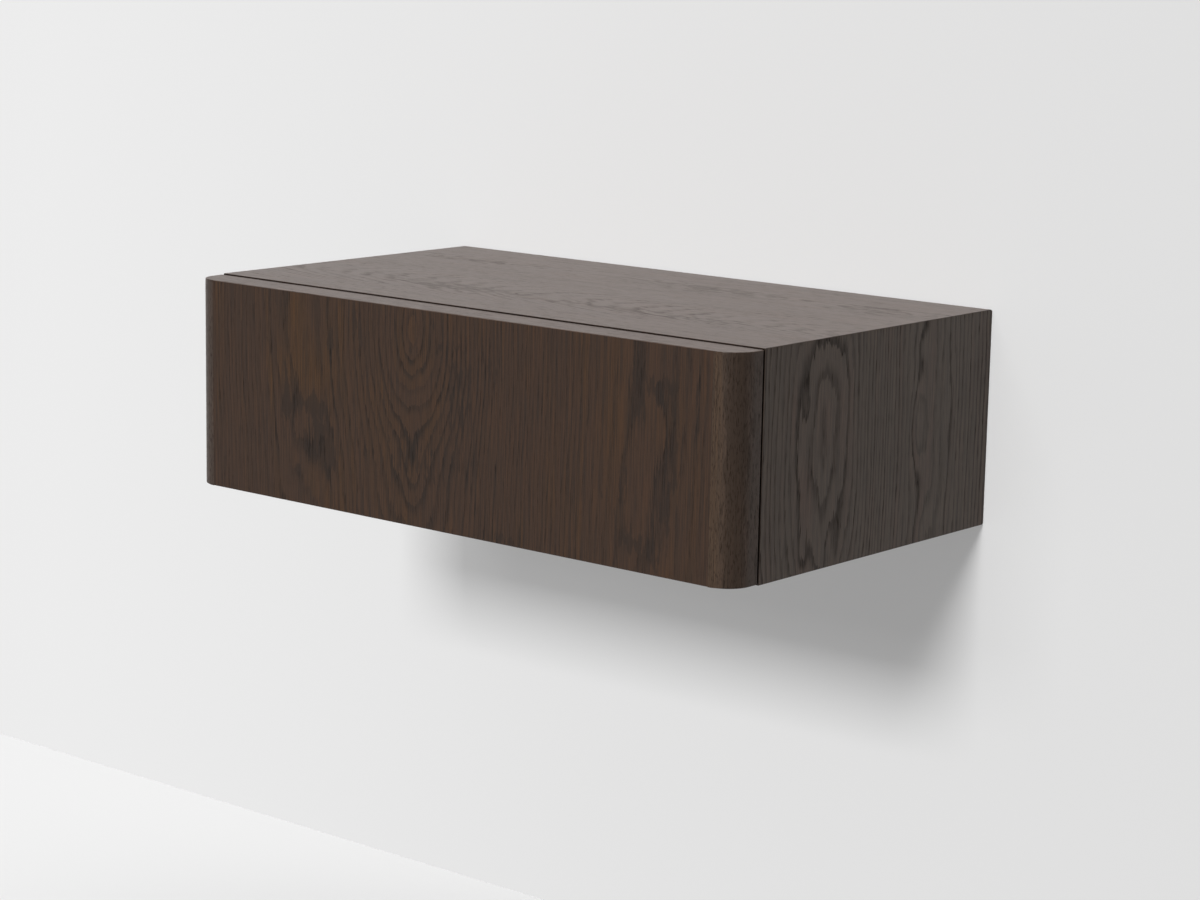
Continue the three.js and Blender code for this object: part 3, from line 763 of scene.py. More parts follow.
@dataclass(frozen=True)
class StagePaint(Finish):
    """Matt paint that shows from its front and is clear from behind.

    On top of it the camera, mirrors and glass see a glow, which lights nothing and goes evenly
    from one level to another over a span of x.
    """

    colour: str
    glow: tuple[float, float]  # at both ends of the span
    span: tuple[float, float] = (-1.0, 0.6)  # metres

    def surface(self, tree: bpy.types.NodeTree) -> Any:
        """Adds the nodes: the paint plus the glow, mixed with clear by the side that is seen.

        Args:
            tree: The empty tree.

        Returns:
            The surface's output.
        """
        matt = {"Base Color": linear(self.colour), "Roughness": 1.0, "Specular IOR Level": 0.0}
        paint = add_node(tree, "BsdfPrincipled", matt)
        x = add_node(tree, "SeparateXYZ", {0: add_node(tree, "TexCoord", out="Object")})
        (left, right), (first, last) = self.span, self.glow
        glow = {"Value": x, "From Min": left, "From Max": right, "To Min": first, "To Max": last}
        glow = add_node(tree, "MapRange", glow)
        glow = add_node(tree, "Math", {0: glow, 1: seen(tree)}, operation="MULTIPLY")
        lit = add_node(tree, "Emission", {"Strength": glow})
        front = add_node(tree, "AddShader", {0: paint, 1: lit})
        behind = add_node(tree, "NewGeometry", out="Backfacing")
        clear = add_node(tree, "BsdfTransparent")
        return add_node(tree, "MixShader", {0: behind, 1: front, 2: clear})


STRAIGHT = Figure()

FRONT_FIGURE = Figure(
    heart=-38, eye=72, pitch_across=4.5, pitch_along=13.5,
    slack_across=(Slack(-177, 50, 0.205), Slack(-38, 46, 0.115), Slack(232, 64, 0.207)),
    slack_along=(Slack(72, 22, 0.04), Slack(-80, 50, 0.06)),
    swells=(
        Swell(-190, -48, 14, 30, -1.0),
        Swell(-160, -30, 22, 40, -0.3),
        Swell(-146, -50, 12, 34, 0.35),
        Swell(-160, -64, 20, 26, -0.4),
        Swell(-136, -95, 20, 40, 0.4),
        Swell(-38, 68, 12, 16, -0.5),
        Swell(-38, -52, 9, 34, -0.9),
        Swell(-38, -58, 24, 34, -0.6),
        Swell(226, -20, 20, 45, 0.2),
        Swell(236, -112, 24, 24, 0.35),
        Swell(245, 47, 18, 13, 0.42),
    ),
    warmed=(Swell(-172, 18, 36, 26, 1.0), Swell(-188, 70, 14, 40, 0.8), Swell(196, 20, 12, 90, 0.5)),
    cooled=(Swell(-300, -80, 40, 40, 0.6), Swell(235, -40, 20, 40, 0.8), Swell(60, -20, 60, 80, 0.5)),
    shaded=(
        Swell(-20, 55, 34, 30, 0.3), Swell(18, 15, 16, 50, 0.6), Swell(-108, 62, 10, 24, 0.6),
        Swell(55, 50, 16, 18, 0.5), Swell(-312, -88, 22, 22, 0.7), Swell(78, -106, 34, 9, 0.6),
        Swell(-155, -42, 15, 27, 1.1), Swell(-172, -14, 24, 11, 0.8), Swell(-200, -8, 5, 27, 1.2),
        Swell(-142, -62, 6, 20, 0.8), Swell(-184, -78, 6, 10, 0.8), Swell(-143, 45, 6, 16, 0.9),
        Swell(-38, -52, 48, 28, 0.5), Swell(222, 46, 8, 34, 0.95), Swell(245, 52, 18, 11, 0.8),
        Swell(262, 4, 6, 44, 0.8), Swell(252, -48, 8, 28, 0.8), Swell(221, -84, 14, 11, 0.9),
        Swell(241, -92, 9, 14, 0.8), Swell(207, -46, 5, 28, 0.7), Swell(284, 40, 4, 40, 0.6),
        Swell(-312, 30, 9, 40, 0.4),
    ),
)

SIDE_FIGURE = Figure(
    heart=-257, eye=4, pitch_across=6.0, pitch_along=25,
    slack_across=(
        Slack(-284, 17, 0.10), Slack(-257, 26, 0.062), Slack(-230, 17, 0.10),
        Slack(-170, 34, -0.072), Slack(-113, 24, 0.125), Slack(-76, 18, 0.06),
    ),
    slack_along=(Slack(4, 50, 0.0265),),
    swells=(
        Swell(-257, 4, 4, 12, 0.15),
        Swell(-281, 32, 7, 24, 0.65),
        Swell(-290, -36, 10, 24, 0.25),
        Swell(-250, -104, 22, 28, -1.3),
        Swell(-246, -90, 6, 18, 0.85),
        Swell(-284, -100, 12, 26, -0.8),
        Swell(-112, -2, 12, 40, 2.1),
        Swell(-111, 66, 13, 16, 0.6),
        Swell(-98, -106, 16, 30, 1.2),
        Swell(-60, 5, 9, 40, -0.45),
    ),
    warmed=(Swell(-280, -40, 12, 30, 0.9), Swell(-256, 20, 12, 30, 0.7), Swell(-228, 10, 12, 40, 0.4)),
    lot=40,
)

TOP_FIGURE = Figure(
    heart=-226, eye=-520, pitch_across=3.6, pitch_along=30,
    slack_across=(Slack(-226, 16, 0.2), Slack(-80, 16, 0.22)),
    swells=(
        Swell(-86, 285, 8, 18, 1.6),
        Swell(-84, 232, 8, 16, 1.3),
        Swell(-88, 198, 8, 14, 1.3),
        Swell(-84, 140, 7, 20, 0.8),
        Swell(-74, -10, 12, 30, 2.4),
        Swell(-80, -80, 12, 26, 2.6),
        Swell(-90, -140, 11, 26, 2.2),
        Swell(-92, -262, 16, 50, 2.8),
        Swell(-262, 120, 12, 70, 1.6),
        Swell(-240, 28, 10, 16, -1.4),
        Swell(-246, -30, 9, 15, 1.2),
        Swell(-250, -160, 9, 14, 1.2),
        Swell(-248, -205, 9, 16, -1.2),
    ),
    shaded=(
        Swell(-86, 240, 15, 80, 0.5), Swell(-82, -70, 20, 110, 0.7), Swell(-98, -262, 18, 60, 0.5),
        Swell(-250, 120, 26, 100, 0.7), Swell(-250, -120, 14, 160, 0.6),
    ),
)

# Painted light and shade on the posts' rounds: a painted lit band, warmer, at x = 305 mm, painted shade at
# 318 mm where the round turns away from the lamps, and the left round's warmth taken out.
POST_LIT_AND_SHADED_FIGURE = Figure(
    pitch_across=3.1,
    warmed=(Swell(305, 0, 7, 4000, 1.0),),
    cooled=(Swell(-312, 0, 16, 4000, 0.4),),
    shaded=(Swell(318, 0, 6, 4000, 1.6),),
)

# Veneer across the light: hardly any shine, so its brown shows deep.
FRONT_STAIN = dict(
    smooth="45342A", warm="4C3726", porous="2C2826", pore="231E1C", specular=0.08, roughness=0.42,
    patchy=0.6,
)
# Solid wood, turned to a round: short open pores all over and faint rings, with light and shade painted on
# the round by its figure.
POST_STAIN = dict(
    smooth="3E2F26", warm="473526", porous="2A211A", pore="211A16", specular=0.25, roughness=0.42,
    ring_contrast=0.5, pore_length=6, open_pores=0.5,
)
# Veneer in the shade: its lines are unbroken, and black where they don't shine.
SIDE_STAIN = dict(
    smooth="4D4035", warm="503C30", porous="29211B", pore="1C1715", specular=0.27, dull=0.08,
    ring_contrast=1.0, patchy=0.3,
)
# Veneer under the light: greyed by its shine, the lines ragged and broken. Its colours are painted lighter
# than the side's, for part of the light that falls on it from above.
TOP_STAIN_PAINTED_LIGHTER = dict(
    smooth="5B4B42", warm="5F4A3F", porous="3C302A", pore="27211E", specular=0.25, ring_contrast=0.9,
    patchy=0.85, pore_length=10, jag=0.9,
)
# Edge bands in the gap round the front, painted nearly black as the shadow in the gap, so that it reads as a
# line.
GAP_SHADOW_STAIN = dict(smooth="241C17", warm="281E18", porous="1A1512", pore="130F0D", specular=0.12)
# Plain boards inside, lighter because their stain is one coat.
BOX_STAIN = dict(smooth="5F4734", warm="6E513A", porous="46352A", pore="2E241E")

TOP_OAK = StainedOak(
    "stained oak veneer, case top", Cut.ACROSS_Y_ALONG_X, TOP_FIGURE, seed=31, **TOP_STAIN_PAINTED_LIGHTER
)
SIDE_OAK = StainedOak("stained oak veneer, case side", Cut.ACROSS_Y_UP_Z, SIDE_FIGURE, **SIDE_STAIN)
FRONT_OAK = StainedOak(
    "stained oak veneer, drawer front", Cut.ACROSS_X_UP_Z, FRONT_FIGURE, seed=7, **FRONT_STAIN
)
# The drawer front's top and bottom edges take the top's colours, painted lighter for light from above.
EDGE_OAK = StainedOak("stained oak edge band", Cut.ACROSS_Y_ALONG_X, STRAIGHT, seed=53, **TOP_STAIN_PAINTED_LIGHTER)
GAP_SHADOW_OAK = StainedOak("edge band painted as gap shadow", Cut.ACROSS_Y_ALONG_X, STRAIGHT, seed=61, **GAP_SHADOW_STAIN)
POST_OAK = StainedOak("stained solid oak post", Cut.ACROSS_X_UP_Z, POST_LIT_AND_SHADED_FIGURE, seed=71, **POST_STAIN)
BACK_OAK = StainedOak("stained oak plywood", Cut.ACROSS_Z_ALONG_X, STRAIGHT, seed=91, **SIDE_STAIN)
BOX_ALONG_X = StainedOak("stained oak board, across", Cut.ACROSS_Z_ALONG_X, STRAIGHT, seed=11, **BOX_STAIN)
BOX_ALONG_Y = StainedOak("stained oak board, along", Cut.ACROSS_Z_ALONG_Y, STRAIGHT, seed=17, **BOX_STAIN)
BOX_FLOOR = StainedOak("stained oak drawer floor", Cut.ACROSS_Y_ALONG_X, STRAIGHT, seed=23, **BOX_STAIN)
CLEAT_BIRCH = Plywood("birch plywood, bare")
SLIDE_ZINC = PlatedSteel("zinc plated sheet steel", "B9BCC0", 0.32, (400, 12, 400))
BALL_STEEL = PlatedSteel("bright steel balls and cage", "C4C6C8", 0.22, (300, 300, 300))
SCREW_ZINC = PlatedSteel("yellow zinc plated screw", "C2A462", 0.3, (500, 500, 500))
LEVER_ACETAL = MouldedPlastic("black acetal lever", "1C1D1F", 0.42)
BUMPER_RUBBER = MouldedPlastic("clear grey rubber bumper", "8F9090", 0.35)


# Making pieces


@dataclass
class Bench:
    """Where pieces are put together: turns shapes into named objects that ride on the frame."""

    fine_angle: float = np.radians(38)  # faces that meet at more than this keep a sharp edge
    doubled: float = MM / 200  # points nearer than this are one
    speck: float = MM / 500  # edges shorter than this go
    facing: float = 0.7  # least part of the normal along an axis that a face looks along
    bevel_steps: int = 3
    finished: dict[str, bpy.types.Material] = field(default_factory=dict)

    def material(self, finish: Finish) -> bpy.types.Material:
        """The finish's material, made once.

        Args:
            finish: The finish.

        Returns:
            Its material.
        """
        if finish.name not in self.finished:
            self.finished[finish.name] = finish.material()
        return self.finished[finish.name]

    def piece(
        self,
        node: str,
        shape: Shape,
        finish: Finish,
        arris: float = 0.0,
        eased: Callable[[Array], Array] | None = None,
        end_finish: Finish | None = None,
        end_axis: int = Z,
    ) -> bpy.types.Object:
        """Makes the finished piece that stands for one frame node.

        Args:
            node: The frame node's name. The piece rides on its body, and the node is hidden.
            shape: The piece's surface.
            finish: The finish of all its faces.
            arris: Width of the bevel on its sharp edges, in metres.
            eased: Tells from the edges' midpoints which of them are bevelled. None takes all.
            end_finish: Another finish for the faces that look along end_axis, or None.
            end_axis: That axis.

        Returns:
            The new object.
        """
        mesh = bpy.data.meshes.new(node + "_finished")
        mesh.from_pydata(shape.points.tolist(), [], shape.faces)
        work = bmesh.new()
        work.from_mesh(mesh)
        bmesh.ops.remove_doubles(work, verts=work.verts, dist=self.doubled)
        bmesh.ops.dissolve_degenerate(work, edges=work.edges, dist=self.speck)
        bmesh.ops.recalc_face_normals(work, faces=work.faces)
        work.to_mesh(mesh)
        work.free()
        mesh.polygons.foreach_set("use_smooth", np.ones(len(mesh.polygons), bool))
        mesh.set_sharp_from_angle(angle=self.fine_angle)
        mesh.materials.append(self.material(finish))
        if end_finish:
            mesh.materials.append(self.material(end_finish))
            normals = np.empty(len(mesh.polygons) * 3, np.float32)
            mesh.polygons.foreach_get("normal", normals)
            ends = np.abs(normals.reshape(-1, 3)[:, end_axis]) > self.facing
            mesh.polygons.foreach_set("material_index", ends.astype(np.int32))
        made = bpy.data.objects.new(node + "_finished", mesh)
        bpy.context.scene.collection.objects.link(made)
        if arris:
            self.weigh(mesh, eased)
            bevel = made.modifiers.new("eased arrises", "BEVEL")
            bevel.width, bevel.segments = arris, self.bevel_steps
            bevel.limit_method = "WEIGHT"
            bevel.use_clamp_overlap = False
        made.modifiers.new("flat faces stay flat", "WEIGHTED_NORMAL").keep_sharp = True
        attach(made, frame["nodes"][node]["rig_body"])
        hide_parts(node)
        return made

    def weigh(self, mesh: bpy.types.Mesh, eased: Callable[[Array], Array] | None) -> None:
        """Gives each sharp edge a bevel weight of 1.

        Args:
            mesh: The mesh, with its sharp edges marked.
            eased: Tells from the edges' midpoints which of them count, or None.
        """
        points = np.empty(len(mesh.vertices) * 3)
        ends = np.empty(len(mesh.edges) * 2, int)
        sharp = np.empty(len(mesh.edges), bool)
        mesh.vertices.foreach_get("co", points)
        mesh.edges.foreach_get("vertices", ends)
        mesh.attributes["sharp_edge"].data.foreach_get("value", sharp)
        if eased:
            sharp &= eased(points.reshape(-1, 3)[ends.reshape(-1, 2)].mean(axis=1))
        weights = mesh.attributes.new("bevel_weight_edge", "FLOAT", "EDGE")
        weights.data.foreach_set("value", sharp.astype(np.float32))


# The case


@dataclass
class Case:
    """Four mitred panels round a recessed back, with the cleats that hang it on the wall."""

    bench: Bench
    arris: float = 0.35 * MM
    rear_radius: float = 2.6 * MM

    def build(self) -> None:
        """Makes the panels, with their edges in the gap painted dark as its shadow, and the hidden pieces
        behind them.
        """
        # The bottom takes the top's veneer too, with its colours painted lighter for light from above.
        panels = {"top": TOP_OAK, "bottom": TOP_OAK, "left_side": SIDE_OAK, "right_side": SIDE_OAK}
        for name, finish in panels.items():
            node = "case_" + name
            self.bench.piece(
                node, merged_copy(node), finish, arris=self.arris, eased=self.off_wall,
                # painted shade: the faces that look along Y take the near-black finish painted as the gap's
                # shadow
                end_finish=GAP_SHADOW_OAK, end_axis=Y,
            )
        hidden = {"case_back_panel": BACK_OAK, "wall_cleat": CLEAT_BIRCH, "case_cleat": CLEAT_BIRCH}
        for level in ("top", "bottom"):
            for side in ("left", "right"):
                hidden[f"{level}_{side}_mitre_spline"] = CLEAT_BIRCH
        for node, finish in hidden.items():
            self.bench.piece(node, merged_copy(node), finish, arris=self.arris)

    def off_wall(self, places: Array) -> Array:
        """Whether places lie in front of the rounded edges along the wall."""
        return places[:, Y] < -self.rear_radius


# The drawer's front


@dataclass
class DrawerFront:
    """A veneered panel between two solid posts whose outer corners are rounded."""

    bench: Bench
    arris: float = 0.8 * MM
    joint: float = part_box("drawer_front_right_post")[0][X]  # from the middle to a glued joint
    apart: float = 0.1 * MM
    tongue: float = 8.2 * MM  # how far the panel's tongues reach into the posts
    domed: float = 0.6  # share of a bumper's height that is rounded
    dome_steps: int = 7
    round_steps: int = 28

    def build(self) -> None:
        """Makes the panel, the posts and the rubber bumpers."""
        self.board("drawer_front_panel", FRONT_OAK)
        for side in ("left", "right"):
            self.board(f"drawer_front_{side}_post", POST_OAK)
            for level in ("lower", "upper"):
                self.bumper(f"{side}_{level}_bumper")

    def board(self, node: str, finish: StainedOak) -> None:
        """Makes the panel or a post, eased on all its arrises but those of the glued joint."""
        self.bench.piece(
            node, merged_copy(node), finish, arris=self.arris, eased=self.off_joint, end_finish=EDGE_OAK
        )

    def off_joint(self, places: Array) -> Array:
        """Whether places lie clear of the two glued joints and of the tongues in them."""
        out = np.abs(places[:, X]) - self.joint
        return (out < -self.apart) | (out > self.tongue)

    def bumper(self, node: str) -> None:
        """Makes one domed disc: a flat foot, a short wall and a quarter-round to the crown.

        Args:
            node: The frame node's name.
        """
        low, high = (np.array(corner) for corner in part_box(node))
        middle = (low + high) / 2
        radius, height = (high[X] - low[X]) / 2, high[Y] - low[Y]
        a = np.linspace(0, TURN / 4, self.dome_steps)
        edge = height * self.domed
        r = np.concatenate([[0, radius], radius - edge + edge * np.cos(a), [0]])
        h = np.concatenate([[0, 0], height - edge + edge * np.sin(a), [height]])
        ones = np.ones((1, self.round_steps))
        foot = (middle[X], low[Y], middle[Z])
        shape = turned(r[:, None] * ones, h[:, None] * ones, foot, (0, 1, 0))
        self.bench.piece(node, shape, BUMPER_RUBBER)


# The drawer box


@dataclass
class DrawerBox:
    """Four dovetailed boards round a grooved-in bottom, screwed to the drawer's front."""

    bench: Bench
    arris: float = 0.3 * MM

    def build(self) -> None:
        """Makes the five boards."""
        for name in ("front", "back"):
            self.board(name, BOX_ALONG_X)
        for name in ("left", "right"):
            self.board(name, BOX_ALONG_Y)
        self.board("bottom", BOX_FLOOR)

    def board(self, name: str, finish: StainedOak) -> None:
        """Makes one board from its frame node, with its arrises eased."""
        node = "drawer_box_" + name
        self.bench.piece(node, merged_copy(node), finish, arris=self.arris)


# The fixings


@dataclass(frozen=True)
class Screw:
    """A cross-recessed screw, its sizes in metres.

    The recess is a plus sign: at an angle a from the nearest arm's middle its edge stands
    the lesser of arm / cos a and half_arm / sin a from the axis.
    """

    head_radius: float
    head_height: float
    shank_radius: float
    length: float
    sunk: bool = False
    steps: int = 48
    thread_pitch: float = 1.3 * MM
    recess_arm: float = 0.55  # share of the head's radius
    recess_half_width: float = 0.13

    def recess(self, angle: Array) -> Array:
        """The plus sign's edge.

        Args:
            angle: Angles about the axis.

        Returns:
            The edge's distance from the axis at each of them.
        """
        near = np.abs((angle + TURN / 8) % (TURN / 4) - TURN / 8)
        arm, half_arm = self.recess_arm * self.head_radius, self.recess_half_width * self.head_radius
        return np.minimum(arm / np.cos(near), half_arm / np.maximum(np.sin(near), 1e-6))

    def shape(self, top: Array, way: Array) -> Shape:
        """Turns the screw's profile about its axis.

        From the top: the recess's floor and edge, the crown, the head's rim, its underside,
        the shank with its thread as a row of small ridges, and the point. The numbers are
        shares of the recess, the head's radius r and the head's height.

        Args:
            top: The middle of the head's top face.
            way: The direction in which the screw points.

        Returns:
            The screw's surface.
        """
        angle = np.linspace(0, TURN, self.steps, endpoint=False)
        plus, even = self.recess(angle), np.ones(self.steps)
        r, shank, tall = self.head_radius, self.shank_radius, self.head_height
        rings = [(0 * plus, 0.62 * tall), (0.7 * plus, 0.55 * tall), (plus, 0.04 * tall)]
        if self.sunk:
            rings += [(0.72 * r * even, 0.0), (r * even, 0.06 * tall), (shank * even, tall)]
        else:
            a = np.linspace(0.35, TURN / 4, 6)
            rings += [(r * (0.35 + 0.65 * np.sin(t)) * even, 0.6 * tall * (1 - np.cos(t))) for t in a]
            rings += [(r * even, 0.96 * tall), (0.96 * r * even, tall), (shank * even, tall)]
        turns = np.arange(tall + self.thread_pitch, self.length, self.thread_pitch / 2)
        rings += [((1.0 if i % 2 else 0.72) * shank * even, h) for i, h in enumerate(turns)]
        rings += [(0 * even, tall + self.length)]
        radii = np.stack([ring for ring, _ in rings])
        heights = np.stack([h * even for _, h in rings])
        return turned(radii, heights, top, way)


CLEAT_SCREW = Screw(4.5 * MM, 2.5 * MM, 2 * MM, 24 * MM)
FRONT_SCREW = Screw(5 * MM, 2.5 * MM, 2 * MM, 30 * MM)
CASE_SIDE_SCREW = Screw(3.6 * MM, 2.2 * MM, 1.7 * MM, 11.8 * MM, sunk=True)
DRAWER_SIDE_SCREW = Screw(3.4 * MM, 2 * MM, 1.6 * MM, 10.5 * MM)


@dataclass
class Fixings:
    """The screws through the back and through the front of the drawer box."""

    bench: Bench

    def build(self) -> None:
        """Makes the eight screws."""
        for i in range(1, 5):
            self.drive(f"cleat_screw_{i}", CLEAT_SCREW, (0, 1, 0))
            self.drive(f"front_screw_{i}", FRONT_SCREW, (0, -1, 0))

    def drive(self, node: str, screw: Screw, way: Sequence[float]) -> None:
        """Makes one screw where its frame node is: the head's top is the box's face that looks back.

        Args:
            node: The frame node's name.
            screw: Its kind.
            way: The direction in which it points.
        """
        low, high = (np.array(corner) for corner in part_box(node))
        way = np.array(way, float)
        top = (low + high) / 2 - way * (high - low) / 2
        self.bench.piece(node, screw.shape(top, way), SCREW_ZINC)


# The slides


@dataclass(frozen=True)
class Channel:
    """A bent sheet member of a slide, in metres.

    u is the distance from the case side's inner face and v the height over the slide's middle.
    """

    web: float  # u of the web's middle
    tip: float  # u of the flanges' ends
    half: float  # v of the flanges' middle
    sheet: float
    tracks: tuple[tuple[float, float], ...] = ()  # u and depth of each pressed ball track
    bend: float = 1.6 * MM
    bend_steps: int = 9
    spacing: float = 0.45 * MM  # from point to point of the section
    track_width: float = 1.3 * MM

    def outline(self) -> Array:
        """The section: a C with rounded bends, its flanges moved by depth * exp(-d * d) at a track.

        Returns:
            Its outline as (u, v).
        """
        corners = np.array([[self.tip, -self.half], [self.web, -self.half]])
        corners = np.concatenate([corners, corners[::-1] * (1, -1)])
        path = evenly(rounded(corners, self.bend, self.bend_steps), self.spacing)
        flange = np.sign(path[:, 1]) * (np.abs(path[:, 1]) > self.half - self.bend / 2)
        for u, depth in self.tracks:
            path[:, 1] += flange * depth * np.exp(-(((path[:, 0] - u) / self.track_width) ** 2))
        return strip(path, self.sheet)


MEMBERS = {
    "outer": Channel(0.6 * MM, 10 * MM, 21.9 * MM, 1.2 * MM, ((5 * MM, 0.3 * MM),)),
    "intermediate": Channel(
        3.0 * MM, 11 * MM, 17.6 * MM, 1.2 * MM, ((5 * MM, -0.3 * MM), (8 * MM, 0.3 * MM))
    ),
    "inner": Channel(12.4 * MM, 4.8 * MM, 13.3 * MM, 1.2 * MM, ((8 * MM, -0.3 * MM),)),
}
# Each cage with the distance of its balls from the case side's inner face.
CAGES = {
    "outer": (Channel(1.8 * MM, 7.5 * MM, 19.75 * MM, 0.6 * MM, bend=1 * MM), 5 * MM),
    "inner": (Channel(4.2 * MM, 10.5 * MM, 15.45 * MM, 0.6 * MM, bend=1 * MM), 8 * MM),
}


@dataclass
class Slide:
    """One ball-bearing slide: three bent members, two ball cages and a release lever."""

    bench: Bench
    name: str
    side: int  # -1 left, 1 right
    ball_count: int = 5  # in a row
    ball_inset: float = 14 * MM  # a cage's end to its first ball
    ball_radius: float = 1.45 * MM
    lever_arris: float = 0.35 * MM
    wall: float = field(init=False)  # from the middle to the case side's inner face
    level: float = field(init=False)  # height of the slide's middle
    member: tuple[float, float] = field(init=False)  # front and rear end
    cage: tuple[float, float] = field(init=False)

    def __post_init__(self) -> None:
        """Takes the slide's place and its pieces' ends from the frame's nodes."""
        low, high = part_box(f"{self.name}_slide_outer_member")
        self.wall = max(abs(low[X]), abs(high[X]))
        self.level = (low[Z] + high[Z]) / 2
        self.member = (low[Y], high[Y])
        low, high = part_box(f"{self.name}_slide_outer_cage")
        self.cage = (low[Y], high[Y])

    def placed(self, points: Array) -> Array:
        """Turns places given as (along, u, v) to X, Y, Z."""
        along, u, v = np.moveaxis(points, -1, 0)
        return np.stack([self.side * (self.wall - u), along, self.level + v], axis=-1)

    def bent(self, channel: Channel, run: tuple[float, float]) -> Shape:
        """A member: the channel's section carried along the run."""
        return lofted(self.placed(carried(channel.outline(), run)))

    def cage_of(self, channel: Channel, u: float) -> Shape:
        """A cage with its balls, in two rows in the middle of its flanges.

        Args:
            channel: The cage's section.
            u: The rows' distance from the case side's inner face.

        Returns:
            The surface of both.
        """
        places = np.linspace(self.cage[0] + self.ball_inset, self.cage[1] - self.ball_inset, self.ball_count)
        rows = [(y, u, sign * channel.half) for sign in (-1, 1) for y in places]
        return self.bent(channel, self.cage) + balls(self.placed(np.array(rows)), self.ball_radius)

    def build(self) -> None:
        """Makes the members, the cages, the lever and the screws."""
        for name, channel in MEMBERS.items():
            self.bench.piece(f"{self.name}_slide_{name}_member", self.bent(channel, self.member), SLIDE_ZINC)
        for name, (channel, u) in CAGES.items():
            self.bench.piece(f"{self.name}_slide_{name}_cage", self.cage_of(channel, u), BALL_STEEL)
        lever = f"{self.name}_release_lever"
        self.bench.piece(lever, merged_copy(lever), LEVER_ACETAL, arris=self.lever_arris)
        fixings = Fixings(self.bench)
        for i in (1, 2):
            fixings.drive(f"{self.name}_case_side_screw_{i}", CASE_SIDE_SCREW, (self.side, 0, 0))
            fixings.drive(f"{self.name}_drawer_side_screw_{i}", DRAWER_SIDE_SCREW, (-self.side, 0, 0))


# The picture


@dataclass
class PictureCamera:
    """The camera that took the picture, found from the case's edges."""

    place: tuple[float, float, float] = (1.7423, -2.2490, 0.4489)
    azimuth: float = 39.873  # degrees to the right of square on
    elevation: float = 10.658
    roll: float = -1.089
    focal_share: float = 2921.7 / 1200  # focal length over the picture's width
    sensor: float = 36.0  # mm

    def build(self) -> None:
        """Makes the camera: forward, right and down turn with azimuth, elevation and roll."""
        a, e, r = np.radians([self.azimuth, self.elevation, self.roll])
        forward = np.array([-np.sin(a) * np.cos(e), np.cos(a) * np.cos(e), -np.sin(e)])
        level = np.array([np.cos(a), np.sin(a), 0.0])
        down = np.cross(forward, level)
        right = np.cos(r) * level + np.sin(r) * down
        lower = np.cos(r) * down - np.sin(r) * level
        lens = bpy.data.cameras.new("picture camera")
        lens.sensor_width = self.sensor
        lens.lens = self.focal_share * self.sensor
        made = bpy.data.objects.new("picture camera", lens)
        turn = np.stack([right, -lower, -forward], axis=1)
        made.matrix_world = Matrix.Translation(self.place) @ Matrix(turn.tolist()).to_4x4()
        bpy.context.scene.collection.objects.link(made)
        bpy.context.scene.camera = made


@dataclass(frozen=True)
class SoftBox:
    """A lamp that faces the object from so far off that it lights the whole floor evenly.

    A face turned to it gets power / (pi * distance * distance) from an area lamp.
    """

    azimuth: float  # degrees to the right of square on
    elevation: float
    spread: tuple[float, float]  # degrees across and up, as the object sees it
    light: float  # watts on a square metre turned to it
    distance: float = 400.0

    def build(self) -> None:
        """Makes the lamp."""
        a, e = np.radians([self.azimuth, self.elevation])
        way = Vector((np.sin(a) * np.cos(e), -np.cos(a) * np.cos(e), np.sin(e)))
        lamp = bpy.data.lights.new("soft box", "AREA")
        lamp.shape = "RECTANGLE"
        lamp.size, lamp.size_y = 2 * self.distance * np.tan(np.radians(self.spread) / 2)
        lamp.energy = self.light * np.pi * self.distance**2
        made = bpy.data.objects.new("soft box", lamp)
        made.location = way * self.distance
        made.rotation_mode = "QUATERNION"
        made.rotation_quaternion = way.to_track_quat("Z", "Y")
        bpy.context.scene.collection.objects.link(made)


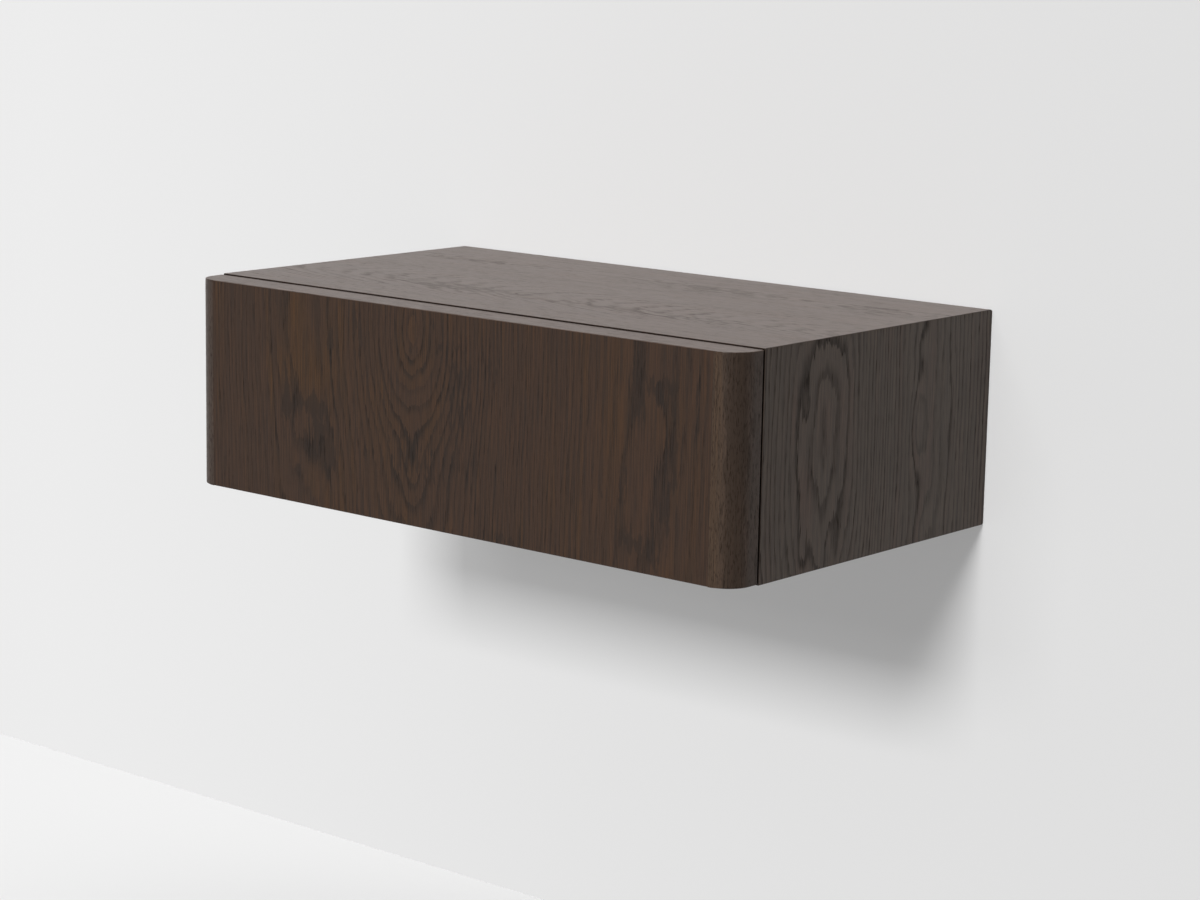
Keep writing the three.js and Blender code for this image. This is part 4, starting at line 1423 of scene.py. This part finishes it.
@dataclass
class Stage:
    """A pale wall and floor in an even surround, with soft boxes in front.

    Wall and floor give no light to the object. The surround stands in for them, so a view from
    behind, where the wall is clear, is lit the same.
    """

    floor_height: float = -0.6
    reach: float = 6.0
    room_depth: float = 20.0
    wall_height: float = 3.0
    wall_gap: float = 0.5 * MM
    wall_paint: StagePaint = StagePaint("pale wall", "BDBDBD", (0.32, 0.22))
    floor_paint: StagePaint = StagePaint("pale floor", "D3D3D3", (0.1, 0.1))
    backdrop: float = 0.8
    surround: float = 0.22
    overhead: float = 2.7
    overhead_lean: float = 25.0  # degrees from straight up towards the wall
    overhead_focus: float = 6.0  # power of the cosine, so that it is half as bright at 27 degrees
    boxes: tuple[SoftBox, ...] = (
        SoftBox(7.0, 26.5, (13.7, 10.9), 2.467),
        SoftBox(-8.0, 22.0, (11.4, 10.9), 0.374),
    )

    def sheet(self, corners: Array, paint: StagePaint) -> bpy.types.Object:
        """Makes one flat sheet of the stage.

        Args:
            corners: Its corners, counter-clockwise from its front.
            paint: Its paint.

        Returns:
            The new object.
        """
        mesh = bpy.data.meshes.new(paint.name)
        mesh.from_pydata(corners.tolist(), [], [[0, 1, 2, 3]])
        mesh.materials.append(paint.material())
        made = bpy.data.objects.new(paint.name, mesh)
        bpy.context.scene.collection.objects.link(made)
        return made

    def build(self) -> None:
        """Makes the wall, the floor, the surround and the soft boxes."""
        r, low, gap, far = self.reach, self.floor_height, self.wall_gap, -self.room_depth
        floor = np.array([[-far, r, low], [far, r, low], [far, far, low], [-far, far, low]])
        ground = self.sheet(floor, self.floor_paint)
        top = self.wall_height
        wall = np.array([[-r, gap, low], [r, gap, low], [r, gap, top], [-r, gap, top]])
        upright = self.sheet(wall, self.wall_paint)
        ground.visible_diffuse = upright.visible_diffuse = False
        upright.visible_shadow = False
        self.light_round()
        for box in self.boxes:
            box.build()
        bpy.context.scene.view_settings.view_transform = "Standard"

    def light_round(self) -> None:
        """The surround: along a look d its light is surround + overhead * max(0, d . up) ** focus.

        Camera, mirrors and glass see the plain backdrop there instead.
        """
        world = bpy.data.worlds.new("soft surround")
        bpy.context.scene.world = world
        world.use_nodes = True
        tree = world.node_tree
        look = add_node(tree, "TexCoord", out="Generated")
        lean = np.radians(self.overhead_lean)
        up = (0.0, np.sin(lean), np.cos(lean))
        above = add_node(tree, "VectorMath", {0: look, 1: up}, "Value", operation="DOT_PRODUCT")
        above = add_node(tree, "Math", {0: above, 1: 0.0}, operation="MAXIMUM")
        above = add_node(tree, "Math", {0: above, 1: self.overhead_focus}, operation="POWER")
        light = {0: above, 1: self.overhead, 2: self.surround}
        light = add_node(tree, "Math", light, operation="MULTIPLY_ADD")
        strength = add_node(tree, "Mix", {0: seen(tree), 2: light, 3: self.backdrop})
        ground = tree.nodes["Background"]
        ground.inputs["Color"].default_value = (1, 1, 1, 1)
        tree.links.new(strength, ground.inputs["Strength"])


def main() -> None:
    """Builds the camera and the stage, then each sub-assembly in turn."""
    logging.basicConfig(level=logging.INFO, format="%(message)s")
    bench = Bench()
    PictureCamera().build()
    Stage().build()
    Case(bench).build()
    DrawerFront(bench).build()
    DrawerBox(bench).build()
    Fixings(bench).build()
    Slide(bench, "left", -1).build()
    Slide(bench, "right", 1).build()


if __name__ == "__main__":
    main()
